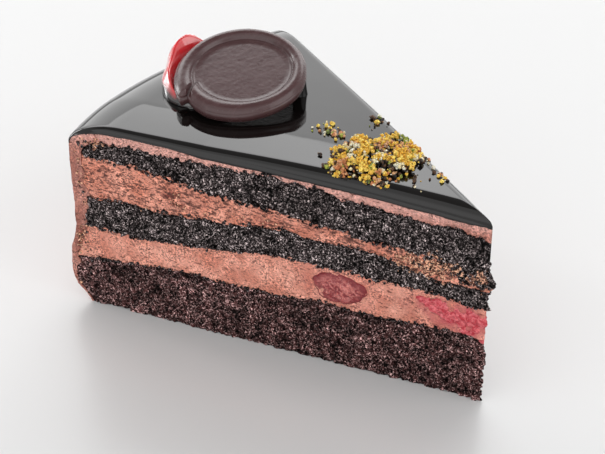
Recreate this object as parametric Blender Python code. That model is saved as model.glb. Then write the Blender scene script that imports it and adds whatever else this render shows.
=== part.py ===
"""Wedge of layered chocolate mousse cake under a dark glaze, topped with a plain chocolate medallion that
leans on a glazed red fruit, and with a scatter of biscuit crumbs.

The base stands on Z = 0. +X runs from the rim to the tip of the wedge, and Y = 0 halves it. Places on the
cake are polar: a distance from the vertical line at the tip, and an angle from the halving line. The front
cut face, towards -Y, has the shapes of the real slice, and the other cut face is like it.
"""

import math
import random

import bmesh
import bpy
from mathutils import Matrix, Vector, noise

MM = 0.001

# The whole: a ninth of a round cake
RADIUS = 120 * MM
HEIGHT = 60 * MM
HALF_ANGLE = math.radians(20)
GAP = 0.3 * MM

# Height in millimetres of each layer's top at the front cut, every STATION from the tip to the rim
STATION = 15 * MM
LAYER_TOPS = {
    "base": (0, 0, 0, 0, 0, 0, 0, 0, 0),
    "bottom_sponge": (20.2, 20.2, 19.0, 19.5, 18.4, 17.8, 18.0, 16.4, 15.2),
    "lower_mousse": (29.2, 30.8, 30.9, 31.2, 30.8, 29.0, 27.0, 25.6, 26.4),
    "middle_sponge": (35.6, 35.6, 39.0, 39.0, 39.3, 38.0, 36.4, 36.3, 35.6),
    "middle_mousse": (40.6, 41.6, 42.5, 43.5, 45.3, 45.8, 47.2, 48.6, 48.8),
    "top_sponge": (50.3, 52.2, 53.2, 54.0, 54.9, 54.6, 54.6, 54.2, 54.0),
    "top_mousse": (54.3, 54.7, 55.4, 56.0, 56.1, 56.1, 56.9, 57.1, 57.1),
    "glaze": (58.2, 58.9, 59.4, 59.8, 60.0, 60.0, 60.0, 60.0, 60.0),
}
LAYER_SWELL = 1.3 * MM
SWELL_LENGTH = 24 * MM

# How far the outer wall stands from RADIUS at heights in millimetres: low down it bulges, then tucks in
WALL_OFFSETS = (
    (0, -3.2), (2.3, -1.8), (5, 0.9), (7, 1.8), (9, 2.3), (12.5, 2.5), (16, 2.2), (18.5, 1.7), (21, 0.9),
    (26, -0.3), (33, -0.2), (40, 0), (47, 0.2), (52, 0.2),
)
COAT_AT_BASE = 2.6 * MM
COAT_GROWTH = 0.06

# The top corner at the rim is round: the glaze, the mousse under it and the top sponge all turn down
CORNER_START = 105 * MM
CORNER_DROPS = {"glaze": 9.0 * MM, "top_mousse": 5.6 * MM, "top_sponge": 3.8 * MM}
CORNER_ENDS = {"glaze": RADIUS + 1.2 * MM, "top_mousse": RADIUS, "top_sponge": RADIUS}
RIM_SHARES = (0.9, 0.93, 0.955, 0.975, 0.99, 1)
TOP_STEPS = 18
GLAZE_EDGE_WIDTH = 4.5 * MM
GLAZE_EDGE_DROP = 3.2 * MM

# Torn sponge and the lump that stands out at the tip
CRAG_DEPTH = 0.75 * MM
CRAG_SIZE = 2.3 * MM
MOUSSE_RIPPLE = 0.22 * MM
TIP_LUMP_HEIGHT = 38 * MM
TIP_LUMP_DEPTH = 2.3 * MM
TIP_LUMP_SPREAD = 2.2 * MM
BASE_EDGE_INSET = 0.8 * MM

# Directions on the top of the cake: the medallion faces the side that the slice is shown from
SHOWN_FROM = math.radians(42.8)
SIDEWAYS = Vector((math.cos(SHOWN_FROM), math.sin(SHOWN_FROM), 0))
AWAY = Vector((-math.sin(SHOWN_FROM), math.cos(SHOWN_FROM), 0))

# Medallion: a pressed disc with a raised, folded border, propped on the fruit and on a dab of glaze
MEDALLION_CENTRE = Vector((-87.1 * MM, 1.2 * MM, 0))
MEDALLION_LIFT = 4.55 * MM
MEDALLION_RADIUS = 17.8 * MM
MEDALLION_BORDER = 4.4 * MM
MEDALLION_HEIGHT = 4.2 * MM
MEDALLION_FLOOR = 2.5 * MM
MEDALLION_BACK_UP = math.radians(12)
MEDALLION_RIGHT_UP = math.radians(2)
FOLD_ANGLE = math.radians(214)
FOLD_SLANT = math.radians(15)
DAB_PLACE = (15.2 * MM, -0.6 * MM)
DAB_RADIUS = 2.0 * MM

# Glazed fruit: a long half, cut side down, that narrows towards the back; places are from the medallion
FRUIT_FRONT = (-12.8 * MM, 2.8 * MM)
FRUIT_BACK = (-15.3 * MM, 15.3 * MM)
FRUIT_HALF_WIDTHS = (12.7 * MM, 5.2 * MM)
FRUIT_HEIGHTS = (9.9 * MM, 14 * MM)
FRUIT_ENDS = (12.2 * MM, 4 * MM)

# Cherries in the lower mousse: one cut open by the front face and one across the tip
FACE_CHERRY = {"distance": 40.5 * MM, "height": 25.3 * MM, "half_width": 7.7 * MM, "half_height": 4.7 * MM}
FACE_CHERRY_DEPTH = 6.5 * MM
TIP_CHERRY_CENTRE = Vector((-6.5 * MM, 0, 24.2 * MM))
TIP_CHERRY_HALVES = Vector((12 * MM, 6.5 * MM, 3.5 * MM))
TIP_CHERRY_SLOPE = math.radians(15)

# Crumbs: a low mound covered with them, a few small heaps, and single grains; places are from the tip
HEAP_CENTRE = Vector((-36.5 * MM, -2.3 * MM, 0))
HEAP_HALF_WIDTH = 12.2 * MM
HEAP_HALF_DEPTH = 8.0 * MM
HEAP_HEIGHT = 2.6 * MM
HEAP_CRUMBS = 42
CRUMB_RADII = (1.2 * MM, 1.95 * MM)
GRAIN_RADII = (0.5 * MM, 0.8 * MM)
SMALL_HEAPS = (  # x and y in millimetres, spread, number of grains
    (-57, 1.5, 2.2, 5),
    (-53, 0.5, 1.8, 3),
    (-47.5, 12.5, 1.8, 4),
    (-27.5, 6.6, 2.2, 4),
    (-23.0, 4.6, 1.8, 4),
)
HEAP_BORDER_GRAINS = 12
EDGE_MARGIN = 0.4 * MM
LOOSE_GRAINS = ((-21.5, -1.5), (-24.5, -4.5), (-19.5, 3.0), (-17.5, 1.0), (-49.5, -12.0))
GOLDEN_ANGLE = math.radians(137.5)

COLOURS = {  # base colour, roughness
    "sponge": ((0.020, 0.012, 0.011), 0.9),
    "mousse": ((0.50, 0.20, 0.14), 0.6),
    "glaze": ((0.010, 0.008, 0.008), 0.08),
    "medallion": ((0.075, 0.040, 0.042), 0.35),
    "glazed_fruit": ((0.55, 0.015, 0.02), 0.12),
    "cut_cherry": ((0.42, 0.045, 0.06), 0.3),
}


def clear_scene():
    for obj in list(bpy.data.objects):
        bpy.data.objects.remove(obj)


def material(kind):
    """The Principled material of that kind, made once."""
    if kind in bpy.data.materials:
        return bpy.data.materials[kind]
    made = bpy.data.materials.new(kind)
    made.use_nodes = True
    colour, roughness = COLOURS[kind]
    shader = made.node_tree.nodes["Principled BSDF"]
    shader.inputs["Base Color"].default_value = (*colour, 1)
    shader.inputs["Roughness"].default_value = roughness
    shader.inputs["Metallic"].default_value = 0
    return made


def add_object(name, kind, mesh):
    """Puts the mesh in the scene with outward faces and its material."""
    shape = bmesh.new()
    shape.from_mesh(mesh)
    bmesh.ops.recalc_face_normals(shape, faces=shape.faces)
    shape.to_mesh(mesh)
    shape.free()
    obj = bpy.data.objects.new(name, mesh)
    obj.data.materials.append(material(kind))
    bpy.context.scene.collection.objects.link(obj)
    return obj


def mesh_of(name, points, faces):
    mesh = bpy.data.meshes.new(name)
    mesh.from_pydata(points, [], faces)
    return mesh


def shade_round(obj, angle=40):
    obj.data.shade_smooth()
    obj.data.set_sharp_from_angle(angle=math.radians(angle))


def join_by(obj, other, operation):
    """Applies one Boolean of obj with another object, or with a collection, and removes the other shapes."""
    modifier = obj.modifiers.new(operation, "BOOLEAN")
    modifier.operation = operation
    modifier.solver = "EXACT"
    if isinstance(other, bpy.types.Collection):
        modifier.operand_type = "COLLECTION"
        modifier.collection = other
        spent = list(other.objects)
    else:
        modifier.object = other
        spent = [other]
    bpy.context.view_layer.update()
    graph = bpy.context.evaluated_depsgraph_get()
    result = bpy.data.meshes.new_from_object(obj.evaluated_get(graph))
    obj.modifiers.clear()
    obj.data = result
    for tool in spent:
        bpy.data.objects.remove(tool)


def copy_of(obj, name):
    twin = bpy.data.objects.new(name, obj.data.copy())
    bpy.context.scene.collection.objects.link(twin)
    return twin


def through(values, place):
    """A smooth curve through evenly spaced values, read at a place counted in steps."""
    last = len(values) - 1
    place = min(max(place, 0), last)
    i = min(int(place), last - 1)
    t = place - i
    before, here, there, after = (values[min(max(k, 0), last)] for k in (i - 1, i, i + 1, i + 2))
    slope_here, slope_there = (there - before) / 2, (after - here) / 2
    return (
        (2 * t**3 - 3 * t**2 + 1) * here
        + (t**3 - 2 * t**2 + t) * slope_here
        + (3 * t**2 - 2 * t**3) * there
        + (t**3 - t**2) * slope_there
    )


def between(pairs, x):
    """Straight lines through (x, y) pairs."""
    for (x0, y0), (x1, y1) in zip(pairs, pairs[1:]):
        if x <= x1:
            return y0 + (y1 - y0) * max(0, x - x0) / (x1 - x0)
    return pairs[-1][1]


def polar(r, angle, z):
    """A point r from the tip: angle 0 points along -X, and a negative angle is towards the front cut."""
    return Vector((-r * math.cos(angle), r * math.sin(angle), z))


def corner_drop(layer, r):
    """How far the round corner at the rim lowers a layer's top, at r from the tip."""
    if layer not in CORNER_DROPS or r <= CORNER_START:
        return 0
    share = min(1, (r - CORNER_START) / (CORNER_ENDS[layer] - CORNER_START))
    return CORNER_DROPS[layer] * (1 - (1 - share**2.2) ** (1 / 2.2))


def layer_top(layer, r, angle):
    """Height of a layer's top. It matches the real slice at the front cut and drifts a little behind it."""
    height = through(LAYER_TOPS[layer], r / STATION) * MM - corner_drop(layer, r)
    if layer in ("base", "top_mousse", "glaze"):
        return height
    behind = (angle + HALF_ANGLE) / (2 * HALF_ANGLE)
    seed = 7.0 * list(LAYER_TOPS).index(layer)
    return height + behind * LAYER_SWELL * noise.noise(Vector((r / SWELL_LENGTH, angle * 3, seed)))


def wall_radius(z):
    """The cake's outer radius at a height."""
    return RADIUS + between(WALL_OFFSETS, z / MM) * MM


def inner_radius(z):
    """Where the layers end inside the coat of mousse."""
    return wall_radius(z) - COAT_AT_BASE - COAT_GROWTH * z


def even_angles(count):
    return lambda r: [HALF_ANGLE * (2 * j / count - 1) for j in range(count + 1)]


def crags(point):
    """Depth of torn sponge at a point of a cut face."""
    return CRAG_DEPTH * (noise.noise(point / CRAG_SIZE) + 0.5 * noise.noise(point / (0.4 * CRAG_SIZE)))


def ripple(point):
    """The knife's slight waves in mousse."""
    return MOUSSE_RIPPLE * noise.noise(point / (2.5 * CRAG_SIZE))


def tip_lump(z):
    return TIP_LUMP_DEPTH * math.exp(-(((z - TIP_LUMP_HEIGHT) / TIP_LUMP_SPREAD) ** 2))


def wedge_layer(name, kind, low, high, reach, shares, rows, angles, relief):
    """A layer of the wedge as a closed grid: shares of the radius, rows of height, and columns of angle.

    low and high give heights at a distance and angle, reach the outer radius at a height, and relief the
    depth of a cut face at a point. At the tip all the columns meet in one edge.
    """
    rings = len(shares) - 1
    columns = len(angles(RADIUS)) - 1
    points, index = [], {}

    def corner(i, j, k):
        key = (i, j if i else 0, k)
        if key in index:
            return index[key]
        nominal = shares[i] * RADIUS
        angle = angles(nominal)[j]
        bottom, top = low(nominal, angle), high(nominal, angle)
        z = bottom + (top - bottom) * k / rows
        point = polar(shares[i] * reach(z), angle, z)
        if i == 0:
            point.x += relief(point) + tip_lump(z)
        elif j in (0, columns):
            side = 1 if j else -1
            outward = Vector((math.sin(HALF_ANGLE), side * math.cos(HALF_ANGLE), 0))
            point += outward * relief(point)
            if z <= 0:
                point -= outward * min(BASE_EDGE_INSET, 0.2 * nominal)
        index[key] = len(points)
        points.append(point)
        return index[key]

    cells = []
    for i in range(rings):
        for j in range(columns):
            cells += [((i, j, k), (i + 1, j, k), (i + 1, j + 1, k), (i, j + 1, k)) for k in (0, rows)]
        for k in range(rows):
            cells += [((i, j, k), (i + 1, j, k), (i + 1, j, k + 1), (i, j, k + 1)) for j in (0, columns)]
    for j in range(columns):
        cells += [
            ((rings, j, k), (rings, j + 1, k), (rings, j + 1, k + 1), (rings, j, k + 1)) for k in range(rows)
        ]
    faces = [list(dict.fromkeys(corner(*place) for place in cell)) for cell in cells]
    return add_object(name, kind, mesh_of(name, points, faces))


def shares_to_rim(count):
    """Even shares of the radius, and closer ones where the corner at the rim turns down."""
    return [i / count for i in range(count) if i / count < RIM_SHARES[0] - 0.01] + list(RIM_SHARES)


def layer_between(name, kind, below, above, count, rows, relief):
    """A sponge or mousse layer between two boundaries, half a gap clear of each."""
    lift = 0 if below == "base" else GAP / 2
    return wedge_layer(
        name,
        kind,
        low=lambda r, a: layer_top(below, r, a) + lift,
        high=lambda r, a: layer_top(above, r, a) - GAP / 2,
        reach=lambda z: inner_radius(z) - GAP / 2,
        shares=shares_to_rim(count),
        rows=rows,
        angles=even_angles(4),
        relief=relief,
    )


def make_coat():
    """The mousse that covers the top and the rim: a section of it, turned from cut to cut."""
    shares = shares_to_rim(TOP_STEPS)
    wall_heights = [z * MM for z, _ in reversed(WALL_OFFSETS[:-1])]
    end = inner_radius(layer_top("top_sponge", RADIUS, 0)) + GAP / 2
    inside_top = layer_top("top_sponge", RADIUS, 0) - 1 * MM

    def section(angle):
        outside = [(s * RADIUS, layer_top("top_mousse", s * RADIUS, angle) - GAP / 2) for s in shares]
        wall = [(wall_radius(z), z) for z in wall_heights]
        inside = [(inner_radius(z) + GAP / 2, z) for z in reversed(wall_heights) if z < inside_top]
        under = [(s * end, layer_top("top_sponge", s * RADIUS, angle) + GAP / 2) for s in reversed(shares)]
        return outside + wall + inside + under

    count = len(section(0))
    columns = len(top_angles(RADIUS)) - 1
    points, index = [], {}
    for i, (distance, _) in enumerate(section(0)):
        for j, angle in enumerate(top_angles(distance)):
            if distance == 0 and j:
                index[i, j] = index[i, 0]
                continue
            r, z = section(angle)[i]
            index[i, j] = len(points)
            points.append(polar(r, angle, z))
    faces = []
    for i in range(count):
        after = (i + 1) % count
        for j in range(columns):
            face = dict.fromkeys((index[i, j], index[i, j + 1], index[after, j + 1], index[after, j]))
            if len(face) > 2:
                faces.append(list(face))
    faces += [[index[i, j] for i in range(count)] for j in (0, columns)]
    return add_object("mousse_coat", "mousse", mesh_of("mousse_coat", points, faces))


def top_angles(r):
    """Columns that crowd together where the glaze's edge turns down."""
    half = r * HALF_ANGLE
    edge = min(GLAZE_EDGE_WIDTH, 0.8 * half)
    front = [-half + edge * share for share in (0, 0.08, 0.3, 0.62, 1)]
    middle = [front[-1] * share for share in (0.5, 0, -0.5)]
    across = front + middle + [-place for place in reversed(front)]
    return [place / r if r else 0 for place in across]


def edge_distance(r, angle):
    """How far a place on the top is from the nearer cut, along its circle."""
    return r * (HALF_ANGLE - abs(angle))


def glaze_height(r, angle):
    """The glaze's top: flat, round at the cut edges and turned down at the rim."""
    share = 1 - min(1, edge_distance(r, angle) / GLAZE_EDGE_WIDTH)
    return layer_top("glaze", r, angle) - GLAZE_EDGE_DROP * (1 - math.sqrt(1 - min(1, share) ** 2))


def make_glaze():
    return wedge_layer(
        "glaze",
        "glaze",
        low=lambda r, a: layer_top("top_mousse", r, a) + GAP / 2,
        high=lambda r, a: max(glaze_height(r, a), layer_top("top_mousse", r, a) + 2 * GAP),
        reach=lambda z: RADIUS,
        shares=shares_to_rim(TOP_STEPS),
        rows=1,
        angles=top_angles,
        relief=lambda point: 0,
    )


def ball(name, kind, halves, place, steps=2, turn=None):
    """A ball of the given half sizes."""
    shape = bmesh.new()
    bmesh.ops.create_icosphere(shape, subdivisions=steps, radius=1)
    shape.transform(Matrix.Diagonal((*halves, 1)))
    if turn is not None:
        shape.transform(turn.to_4x4())
    shape.transform(Matrix.Translation(place))
    mesh = bpy.data.meshes.new(name)
    shape.to_mesh(mesh)
    shape.free()
    return add_object(name, kind, mesh)


def heap_share(x, y):
    """How far a place is from the middle of the heap: 1 at its edge."""
    offset = Vector((x, y, 0)) - HEAP_CENTRE
    return math.hypot(offset.dot(SIDEWAYS) / HEAP_HALF_WIDTH, offset.dot(AWAY) / HEAP_HALF_DEPTH)


def around_heap(share, angle):
    """The place at a share of the heap's size, in a direction."""
    place = HEAP_CENTRE + SIDEWAYS * (HEAP_HALF_WIDTH * share * math.cos(angle))
    place += AWAY * (HEAP_HALF_DEPTH * share * math.sin(angle))
    return place.x, place.y


def crumb(draw, name, x, y, radius):
    """One rough crumb, sunk a little into the glaze or into the mound of the heap."""
    ground = glaze_height(math.hypot(x, y), math.atan2(y, -x))
    ground += HEAP_HEIGHT * math.sqrt(max(0, 1 - (heap_share(x, y) / 0.85) ** 2))
    halves = [radius * draw.uniform(0.82, 1.15) for _ in range(3)]
    turn = Matrix.Rotation(draw.uniform(0, math.tau), 3, Vector((draw.random(), draw.random(), 1)))
    place = Vector((x, y, ground + 0.55 * radius))
    obj = ball(name, "glaze", halves, place, 1, turn)
    for vertex in obj.data.vertices:
        vertex.co = place + (vertex.co - place) * draw.uniform(0.85, 1.15)
    return obj


def crumb_places(draw):
    """(x, y, radius) of every crumb, the heap's first."""
    for n in range(HEAP_CRUMBS):
        share = math.sqrt((n + 0.5) / HEAP_CRUMBS)
        yield *around_heap(share, n * GOLDEN_ANGLE), draw.uniform(*CRUMB_RADII)
    for n in range(HEAP_BORDER_GRAINS):
        yield *around_heap(draw.uniform(1.08, 1.28), n * GOLDEN_ANGLE), draw.uniform(*GRAIN_RADII)
    for x, y, spread, count in SMALL_HEAPS:
        for n in range(count):
            out = spread * math.sqrt((n + 0.5) / count)
            angle = n * GOLDEN_ANGLE
            place = (x + out * math.cos(angle), y + out * math.sin(angle))
            yield place[0] * MM, place[1] * MM, draw.uniform(0.65, 1.0) * MM
    for x, y in LOOSE_GRAINS:
        yield x * MM, y * MM, draw.uniform(*GRAIN_RADII)


def heap_mound():
    """The solid middle of the heap, which its crumbs sit on."""
    halves = (0.85 * HEAP_HALF_WIDTH, 0.85 * HEAP_HALF_DEPTH, HEAP_HEIGHT)
    turn = Matrix.Rotation(SHOWN_FROM, 3, "Z")
    return ball("heap_mound", "glaze", halves, HEAP_CENTRE + Vector((0, 0, HEIGHT - GAP)), 2, turn)


def glaze_dab():
    """The dab of dark glaze that props the medallion's right side."""
    place = MEDALLION_CENTRE + SIDEWAYS * DAB_PLACE[0] + AWAY * DAB_PLACE[1]
    height = under_medallion(place) - HEIGHT
    obj = ball("glaze_dab", "glaze", (DAB_RADIUS, DAB_RADIUS, height), place + Vector((0, 0, HEIGHT)), 2)
    for vertex in obj.data.vertices:
        spot = Vector((vertex.co.x, vertex.co.y, 0))
        vertex.co.z = max(HEIGHT - 2 * GAP, min(vertex.co.z, under_medallion(spot) - GAP))
    return obj


def add_toppings(glaze):
    """Fuses the crumbs and the dab to the glaze that they lie on."""
    draw = random.Random(11)
    small = bpy.data.collections.new("small_toppings")
    bpy.context.scene.collection.children.link(small)
    places = [
        (x, y, radius)
        for x, y, radius in crumb_places(draw)
        if edge_distance(math.hypot(x, y), math.atan2(y, -x)) > radius + EDGE_MARGIN
    ]
    pieces = [crumb(draw, f"crumb_{n}", *place) for n, place in enumerate(places)]
    for obj in [heap_mound(), glaze_dab(), *pieces]:
        bpy.context.scene.collection.objects.unlink(obj)
        small.objects.link(obj)
    join_by(glaze, small, "UNION")
    bpy.data.collections.remove(small)


def medallion_tilt():
    """Turns the medallion so that its back and, slightly, its right edge are up."""
    back = Matrix.Rotation(MEDALLION_BACK_UP, 3, SIDEWAYS)
    right = Matrix.Rotation(-MEDALLION_RIGHT_UP, 3, AWAY)
    return back @ right


def medallion_place():
    """World matrix of the medallion: X sideways, Y away, Z out of its face, origin under its middle."""
    axes = Matrix((SIDEWAYS, AWAY, Vector((0, 0, 1)))).transposed()
    place = MEDALLION_CENTRE + Vector((0, 0, HEIGHT + MEDALLION_LIFT))
    return Matrix.Translation(place) @ (medallion_tilt() @ axes).to_4x4()


def past_fold(angle):
    """From 0 just past the fold, round to 1 where the border comes back to it."""
    return ((angle - FOLD_ANGLE) % math.tau) / math.tau


def medallion_outline(angle):
    """Outer radius of the border: uneven, with a lobe that swells until it folds over its own start."""
    share = past_fold(angle)
    uneven = 0.35 * MM * math.cos(2 * (angle - math.radians(28))) + 0.2 * MM * math.cos(3 * angle + 1)
    lobe = 1.3 * MM * max(0, (share - 0.72) / 0.28) ** 1.5
    tuck = -0.9 * MM * max(0, 1 - share / 0.07)
    return MEDALLION_RADIUS + uneven + lobe + tuck


def medallion_section(angle):
    """(distance from the middle, height) along the section at an angle, from the underside to the recess."""
    edge = medallion_outline(angle)
    share = past_fold(angle)
    crest = MEDALLION_HEIGHT * (1 - 0.3 * max(0, 1 - share / 0.04) - 0.45 * max(0, (share - 0.975) / 0.025))
    recess = MEDALLION_RADIUS - MEDALLION_BORDER + 1.1 * MM * max(0, (share - 0.85) / 0.15) ** 1.5
    floor = MEDALLION_FLOOR
    return [
        (0.55 * recess, 0),
        (edge - 1.0 * MM, 0),
        (edge - 0.15 * MM, 0.35 * MM),
        (edge, 1.1 * MM),
        (edge - 0.35 * MM, 0.62 * crest),
        (edge - 1.1 * MM, 0.92 * crest),
        (0.5 * (edge + recess), crest),
        (recess + 0.5 * MM, 0.86 * crest),
        (recess, max(floor, 0.72 * crest)),
        (recess - 0.35 * MM, floor + 0.1 * MM),
        (recess - 1.0 * MM, floor),
    ]


def make_medallion(segments=52):
    points = [Vector((0, 0, 0)), Vector((0, 0, MEDALLION_FLOOR))]
    rings = []
    for s in range(segments):
        angle = FOLD_ANGLE + math.tau * (s + 0.5) / segments
        start = len(points)
        section = medallion_section(angle)
        for distance, z in section:
            turned = angle - FOLD_SLANT * min(1, (MEDALLION_RADIUS - distance) / MEDALLION_BORDER)
            points.append(Vector((distance * math.cos(turned), distance * math.sin(turned), z)))
        rings.append(range(start, start + len(section)))
    faces = []
    for here, there in zip(rings, rings[1:] + rings[:1]):
        faces.append([0, there[0], here[0]])
        faces.append([1, here[-1], there[-1]])
        faces += [[here[n], there[n], there[n + 1], here[n + 1]] for n in range(len(here) - 1)]
    obj = add_object("medallion", "medallion", mesh_of("medallion", points, faces))
    obj.matrix_world = medallion_place()
    shade_round(obj, 50)


def under_medallion(point):
    """Height of the medallion's underside above a point, and more where the medallion doesn't reach."""
    offset = point - MEDALLION_CENTRE
    sideways, away = offset.dot(SIDEWAYS), offset.dot(AWAY)
    normal = medallion_tilt() @ Vector((0, 0, 1))
    plane = HEIGHT + MEDALLION_LIFT - (normal.x * offset.x + normal.y * offset.y) / normal.z
    beyond = max(0, math.hypot(sideways, away) - MEDALLION_RADIUS - 1.2 * MM)
    return plane + 1.5 * beyond


def fruit_ring(along, arc_steps=12, under_steps=5):
    """One loop round the fruit: along goes from its front end, 0, to its back end, 1."""
    lean = -math.cos(math.pi * along)
    end = FRUIT_ENDS[0] if lean < 0 else FRUIT_ENDS[1]
    middle = Vector(FRUIT_FRONT).lerp(Vector(FRUIT_BACK), along)
    round_off = math.sin(math.pi * along) ** 0.75
    half_width = round_off * (FRUIT_HALF_WIDTHS[0] + (FRUIT_HALF_WIDTHS[1] - FRUIT_HALF_WIDTHS[0]) * along)
    height = round_off * (FRUIT_HEIGHTS[0] + (FRUIT_HEIGHTS[1] - FRUIT_HEIGHTS[0]) * along)
    around = [math.pi * k / arc_steps for k in range(arc_steps + 1)]
    across = [(-half_width * math.cos(angle), height * math.sin(angle)) for angle in around]
    across += [(half_width * (1 - 2 * k / under_steps), 0) for k in range(1, under_steps)]
    ring = []
    for side, rise in across:
        point = MEDALLION_CENTRE + SIDEWAYS * (middle.x + side) + AWAY * (middle.y + end * lean)
        ground = glaze_height(math.hypot(point.x, point.y), math.atan2(point.y, -point.x)) + GAP
        top = min(HEIGHT + GAP + rise, under_medallion(point) - GAP)
        point.z = max(ground, top) if rise > 0.1 * MM else ground
        ring.append(point)
    return ring


def make_fruit(rings=16):
    """The long red half, cut side down on the glaze and flattened where the medallion leans on it."""
    shape = bmesh.new()
    grid = [[shape.verts.new(point) for point in fruit_ring(i / rings)] for i in range(1, rings)]
    ends = [shape.verts.new(fruit_ring(along)[0]) for along in (0, 1)]
    sides = range(len(grid[0]))
    for row, following in zip(grid, grid[1:]):
        for k in sides:
            shape.faces.new((row[k - 1], row[k], following[k], following[k - 1]))
    for end, row in zip(ends, (grid[0], grid[-1])):
        for k in sides:
            shape.faces.new((row[k - 1], row[k], end))
    mesh = bpy.data.meshes.new("glazed_fruit")
    shape.to_mesh(mesh)
    shape.free()
    shade_round(add_object("glazed_fruit", "glazed_fruit", mesh), 60)


def front_frame(distance, height):
    """Matrix of the front cut: X towards the tip, Y into the cake, Z up, origin on the cut."""
    place = polar(distance, -HALF_ANGLE, height)
    return Matrix.Translation(place) @ Matrix.Rotation(HALF_ANGLE, 4, "Z")


def face_cherry_shape(name, grow, flat):
    """The cherry cut open by the front face. With flat, nothing of it stands out of the face."""
    halves = (FACE_CHERRY["half_width"] + grow, FACE_CHERRY_DEPTH + grow, FACE_CHERRY["half_height"] + grow)
    obj = ball(name, "cut_cherry", halves, Vector((0, 0, 0)), 3)
    for vertex in obj.data.vertices:
        spot = vertex.co
        spot *= 1 + 0.04 * noise.noise(spot / (4 * MM) + Vector((0, 0, 3)))
        if flat and spot.y < 0:
            spot.y *= 0.02
    obj.data.transform(front_frame(FACE_CHERRY["distance"], FACE_CHERRY["height"]))
    return obj


def tip_cherry_shape(name, grow):
    turn = Matrix.Rotation(TIP_CHERRY_SLOPE, 3, "Y")
    halves = [half + grow for half in TIP_CHERRY_HALVES]
    return ball(name, "cut_cherry", halves, TIP_CHERRY_CENTRE, 3, turn)


def make_lower_mousse():
    """The lower mousse with its two cherries: one cut open by the front face, one across the tip."""
    mousse = layer_between("mousse_lower", "mousse", "bottom_sponge", "lower_mousse", 24, 2, ripple)
    tip_cherry = tip_cherry_shape("cherry_in_tip", 0)
    join_by(tip_cherry, copy_of(mousse, "tip_bounds"), "INTERSECT")
    face_cherry = face_cherry_shape("cherry_in_face", 0, True)
    join_by(mousse, tip_cherry_shape("tip_pocket", GAP), "DIFFERENCE")
    join_by(mousse, face_cherry_shape("face_pocket", GAP, False), "DIFFERENCE")
    for obj in (tip_cherry, face_cherry):
        obj.data.materials.clear()
        obj.data.materials.append(material("cut_cherry"))
        shade_round(obj)
    mousse.data.materials.clear()
    mousse.data.materials.append(material("mousse"))


def stand_on_origin():
    """Moves everything so that the middle of the whole's base is the origin."""
    bpy.context.view_layer.update()
    corners = [obj.matrix_world @ vertex.co for obj in bpy.data.objects for vertex in obj.data.vertices]
    low = Vector(map(min, *corners))
    high = Vector(map(max, *corners))
    shift = Matrix.Translation((-(low.x + high.x) / 2, -(low.y + high.y) / 2, -low.z))
    for obj in bpy.data.objects:
        obj.matrix_world = shift @ obj.matrix_world


def main():
    clear_scene()
    layer_between("sponge_bottom", "sponge", "base", "bottom_sponge", 34, 6, crags)
    make_lower_mousse()
    layer_between("sponge_middle", "sponge", "lower_mousse", "middle_sponge", 34, 3, crags)
    layer_between("mousse_middle", "mousse", "middle_sponge", "middle_mousse", 24, 2, ripple)
    layer_between("sponge_top", "sponge", "middle_mousse", "top_sponge", 34, 3, crags)
    make_coat()
    add_toppings(make_glaze())
    make_medallion()
    make_fruit()
    stand_on_origin()


main()
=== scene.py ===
"""The looks of the slice of layered chocolate cake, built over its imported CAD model.

Places on the cake are polar, as in the CAD model: a distance from the vertical line at the tip, and an angle
from the line that halves the wedge. The front cut, towards -Y, is the one that the photograph shows best.
"""

import math
import random

import bmesh
import bpy
import numpy as np
from mathutils import Matrix, Vector


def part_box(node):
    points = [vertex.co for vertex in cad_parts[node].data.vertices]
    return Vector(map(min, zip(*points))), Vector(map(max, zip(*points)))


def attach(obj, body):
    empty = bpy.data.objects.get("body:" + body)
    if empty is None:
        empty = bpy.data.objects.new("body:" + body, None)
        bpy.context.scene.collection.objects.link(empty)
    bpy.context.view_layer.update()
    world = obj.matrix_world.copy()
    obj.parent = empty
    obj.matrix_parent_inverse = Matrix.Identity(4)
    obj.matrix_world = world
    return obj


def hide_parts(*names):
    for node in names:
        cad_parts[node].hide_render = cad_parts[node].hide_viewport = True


MM = 0.001
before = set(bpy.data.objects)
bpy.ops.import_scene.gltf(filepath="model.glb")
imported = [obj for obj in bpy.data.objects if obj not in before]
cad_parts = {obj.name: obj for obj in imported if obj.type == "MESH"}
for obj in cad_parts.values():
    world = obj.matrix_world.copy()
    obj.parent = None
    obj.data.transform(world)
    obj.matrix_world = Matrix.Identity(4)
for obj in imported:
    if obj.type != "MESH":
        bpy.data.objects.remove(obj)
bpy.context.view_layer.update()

# Where the tip stands in the frame, and the whole slice's driving sizes
TIP_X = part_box("glaze")[1][0]
RADIUS = 120 * MM
HEIGHT = 60 * MM
HALF_ANGLE = math.radians(20)

# Height in millimetres of each layer's top at the front cut, every STATION from the tip to the rim
STATION = 15 * MM
LAYER_TOPS = {
    "base": (0, 0, 0, 0, 0, 0, 0, 0, 0),
    "bottom_sponge": (20.2, 20.2, 19.0, 19.5, 18.4, 17.8, 18.0, 16.4, 15.2),
    "lower_mousse": (29.2, 30.8, 30.9, 31.2, 30.8, 29.0, 27.0, 25.6, 26.4),
    "middle_sponge": (35.6, 35.6, 39.0, 39.0, 39.3, 38.0, 36.4, 36.3, 35.6),
    "middle_mousse": (40.6, 41.6, 42.5, 43.5, 45.3, 45.8, 47.2, 48.6, 48.8),
    "top_sponge": (50.3, 52.2, 53.2, 54.0, 54.9, 54.6, 54.6, 54.2, 54.0),
    "top_mousse": (54.3, 54.7, 55.4, 56.0, 56.1, 56.1, 56.9, 57.1, 57.1),
    "glaze": (58.2, 58.9, 59.4, 59.8, 60.0, 60.0, 60.0, 60.0, 60.0),
}
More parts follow.
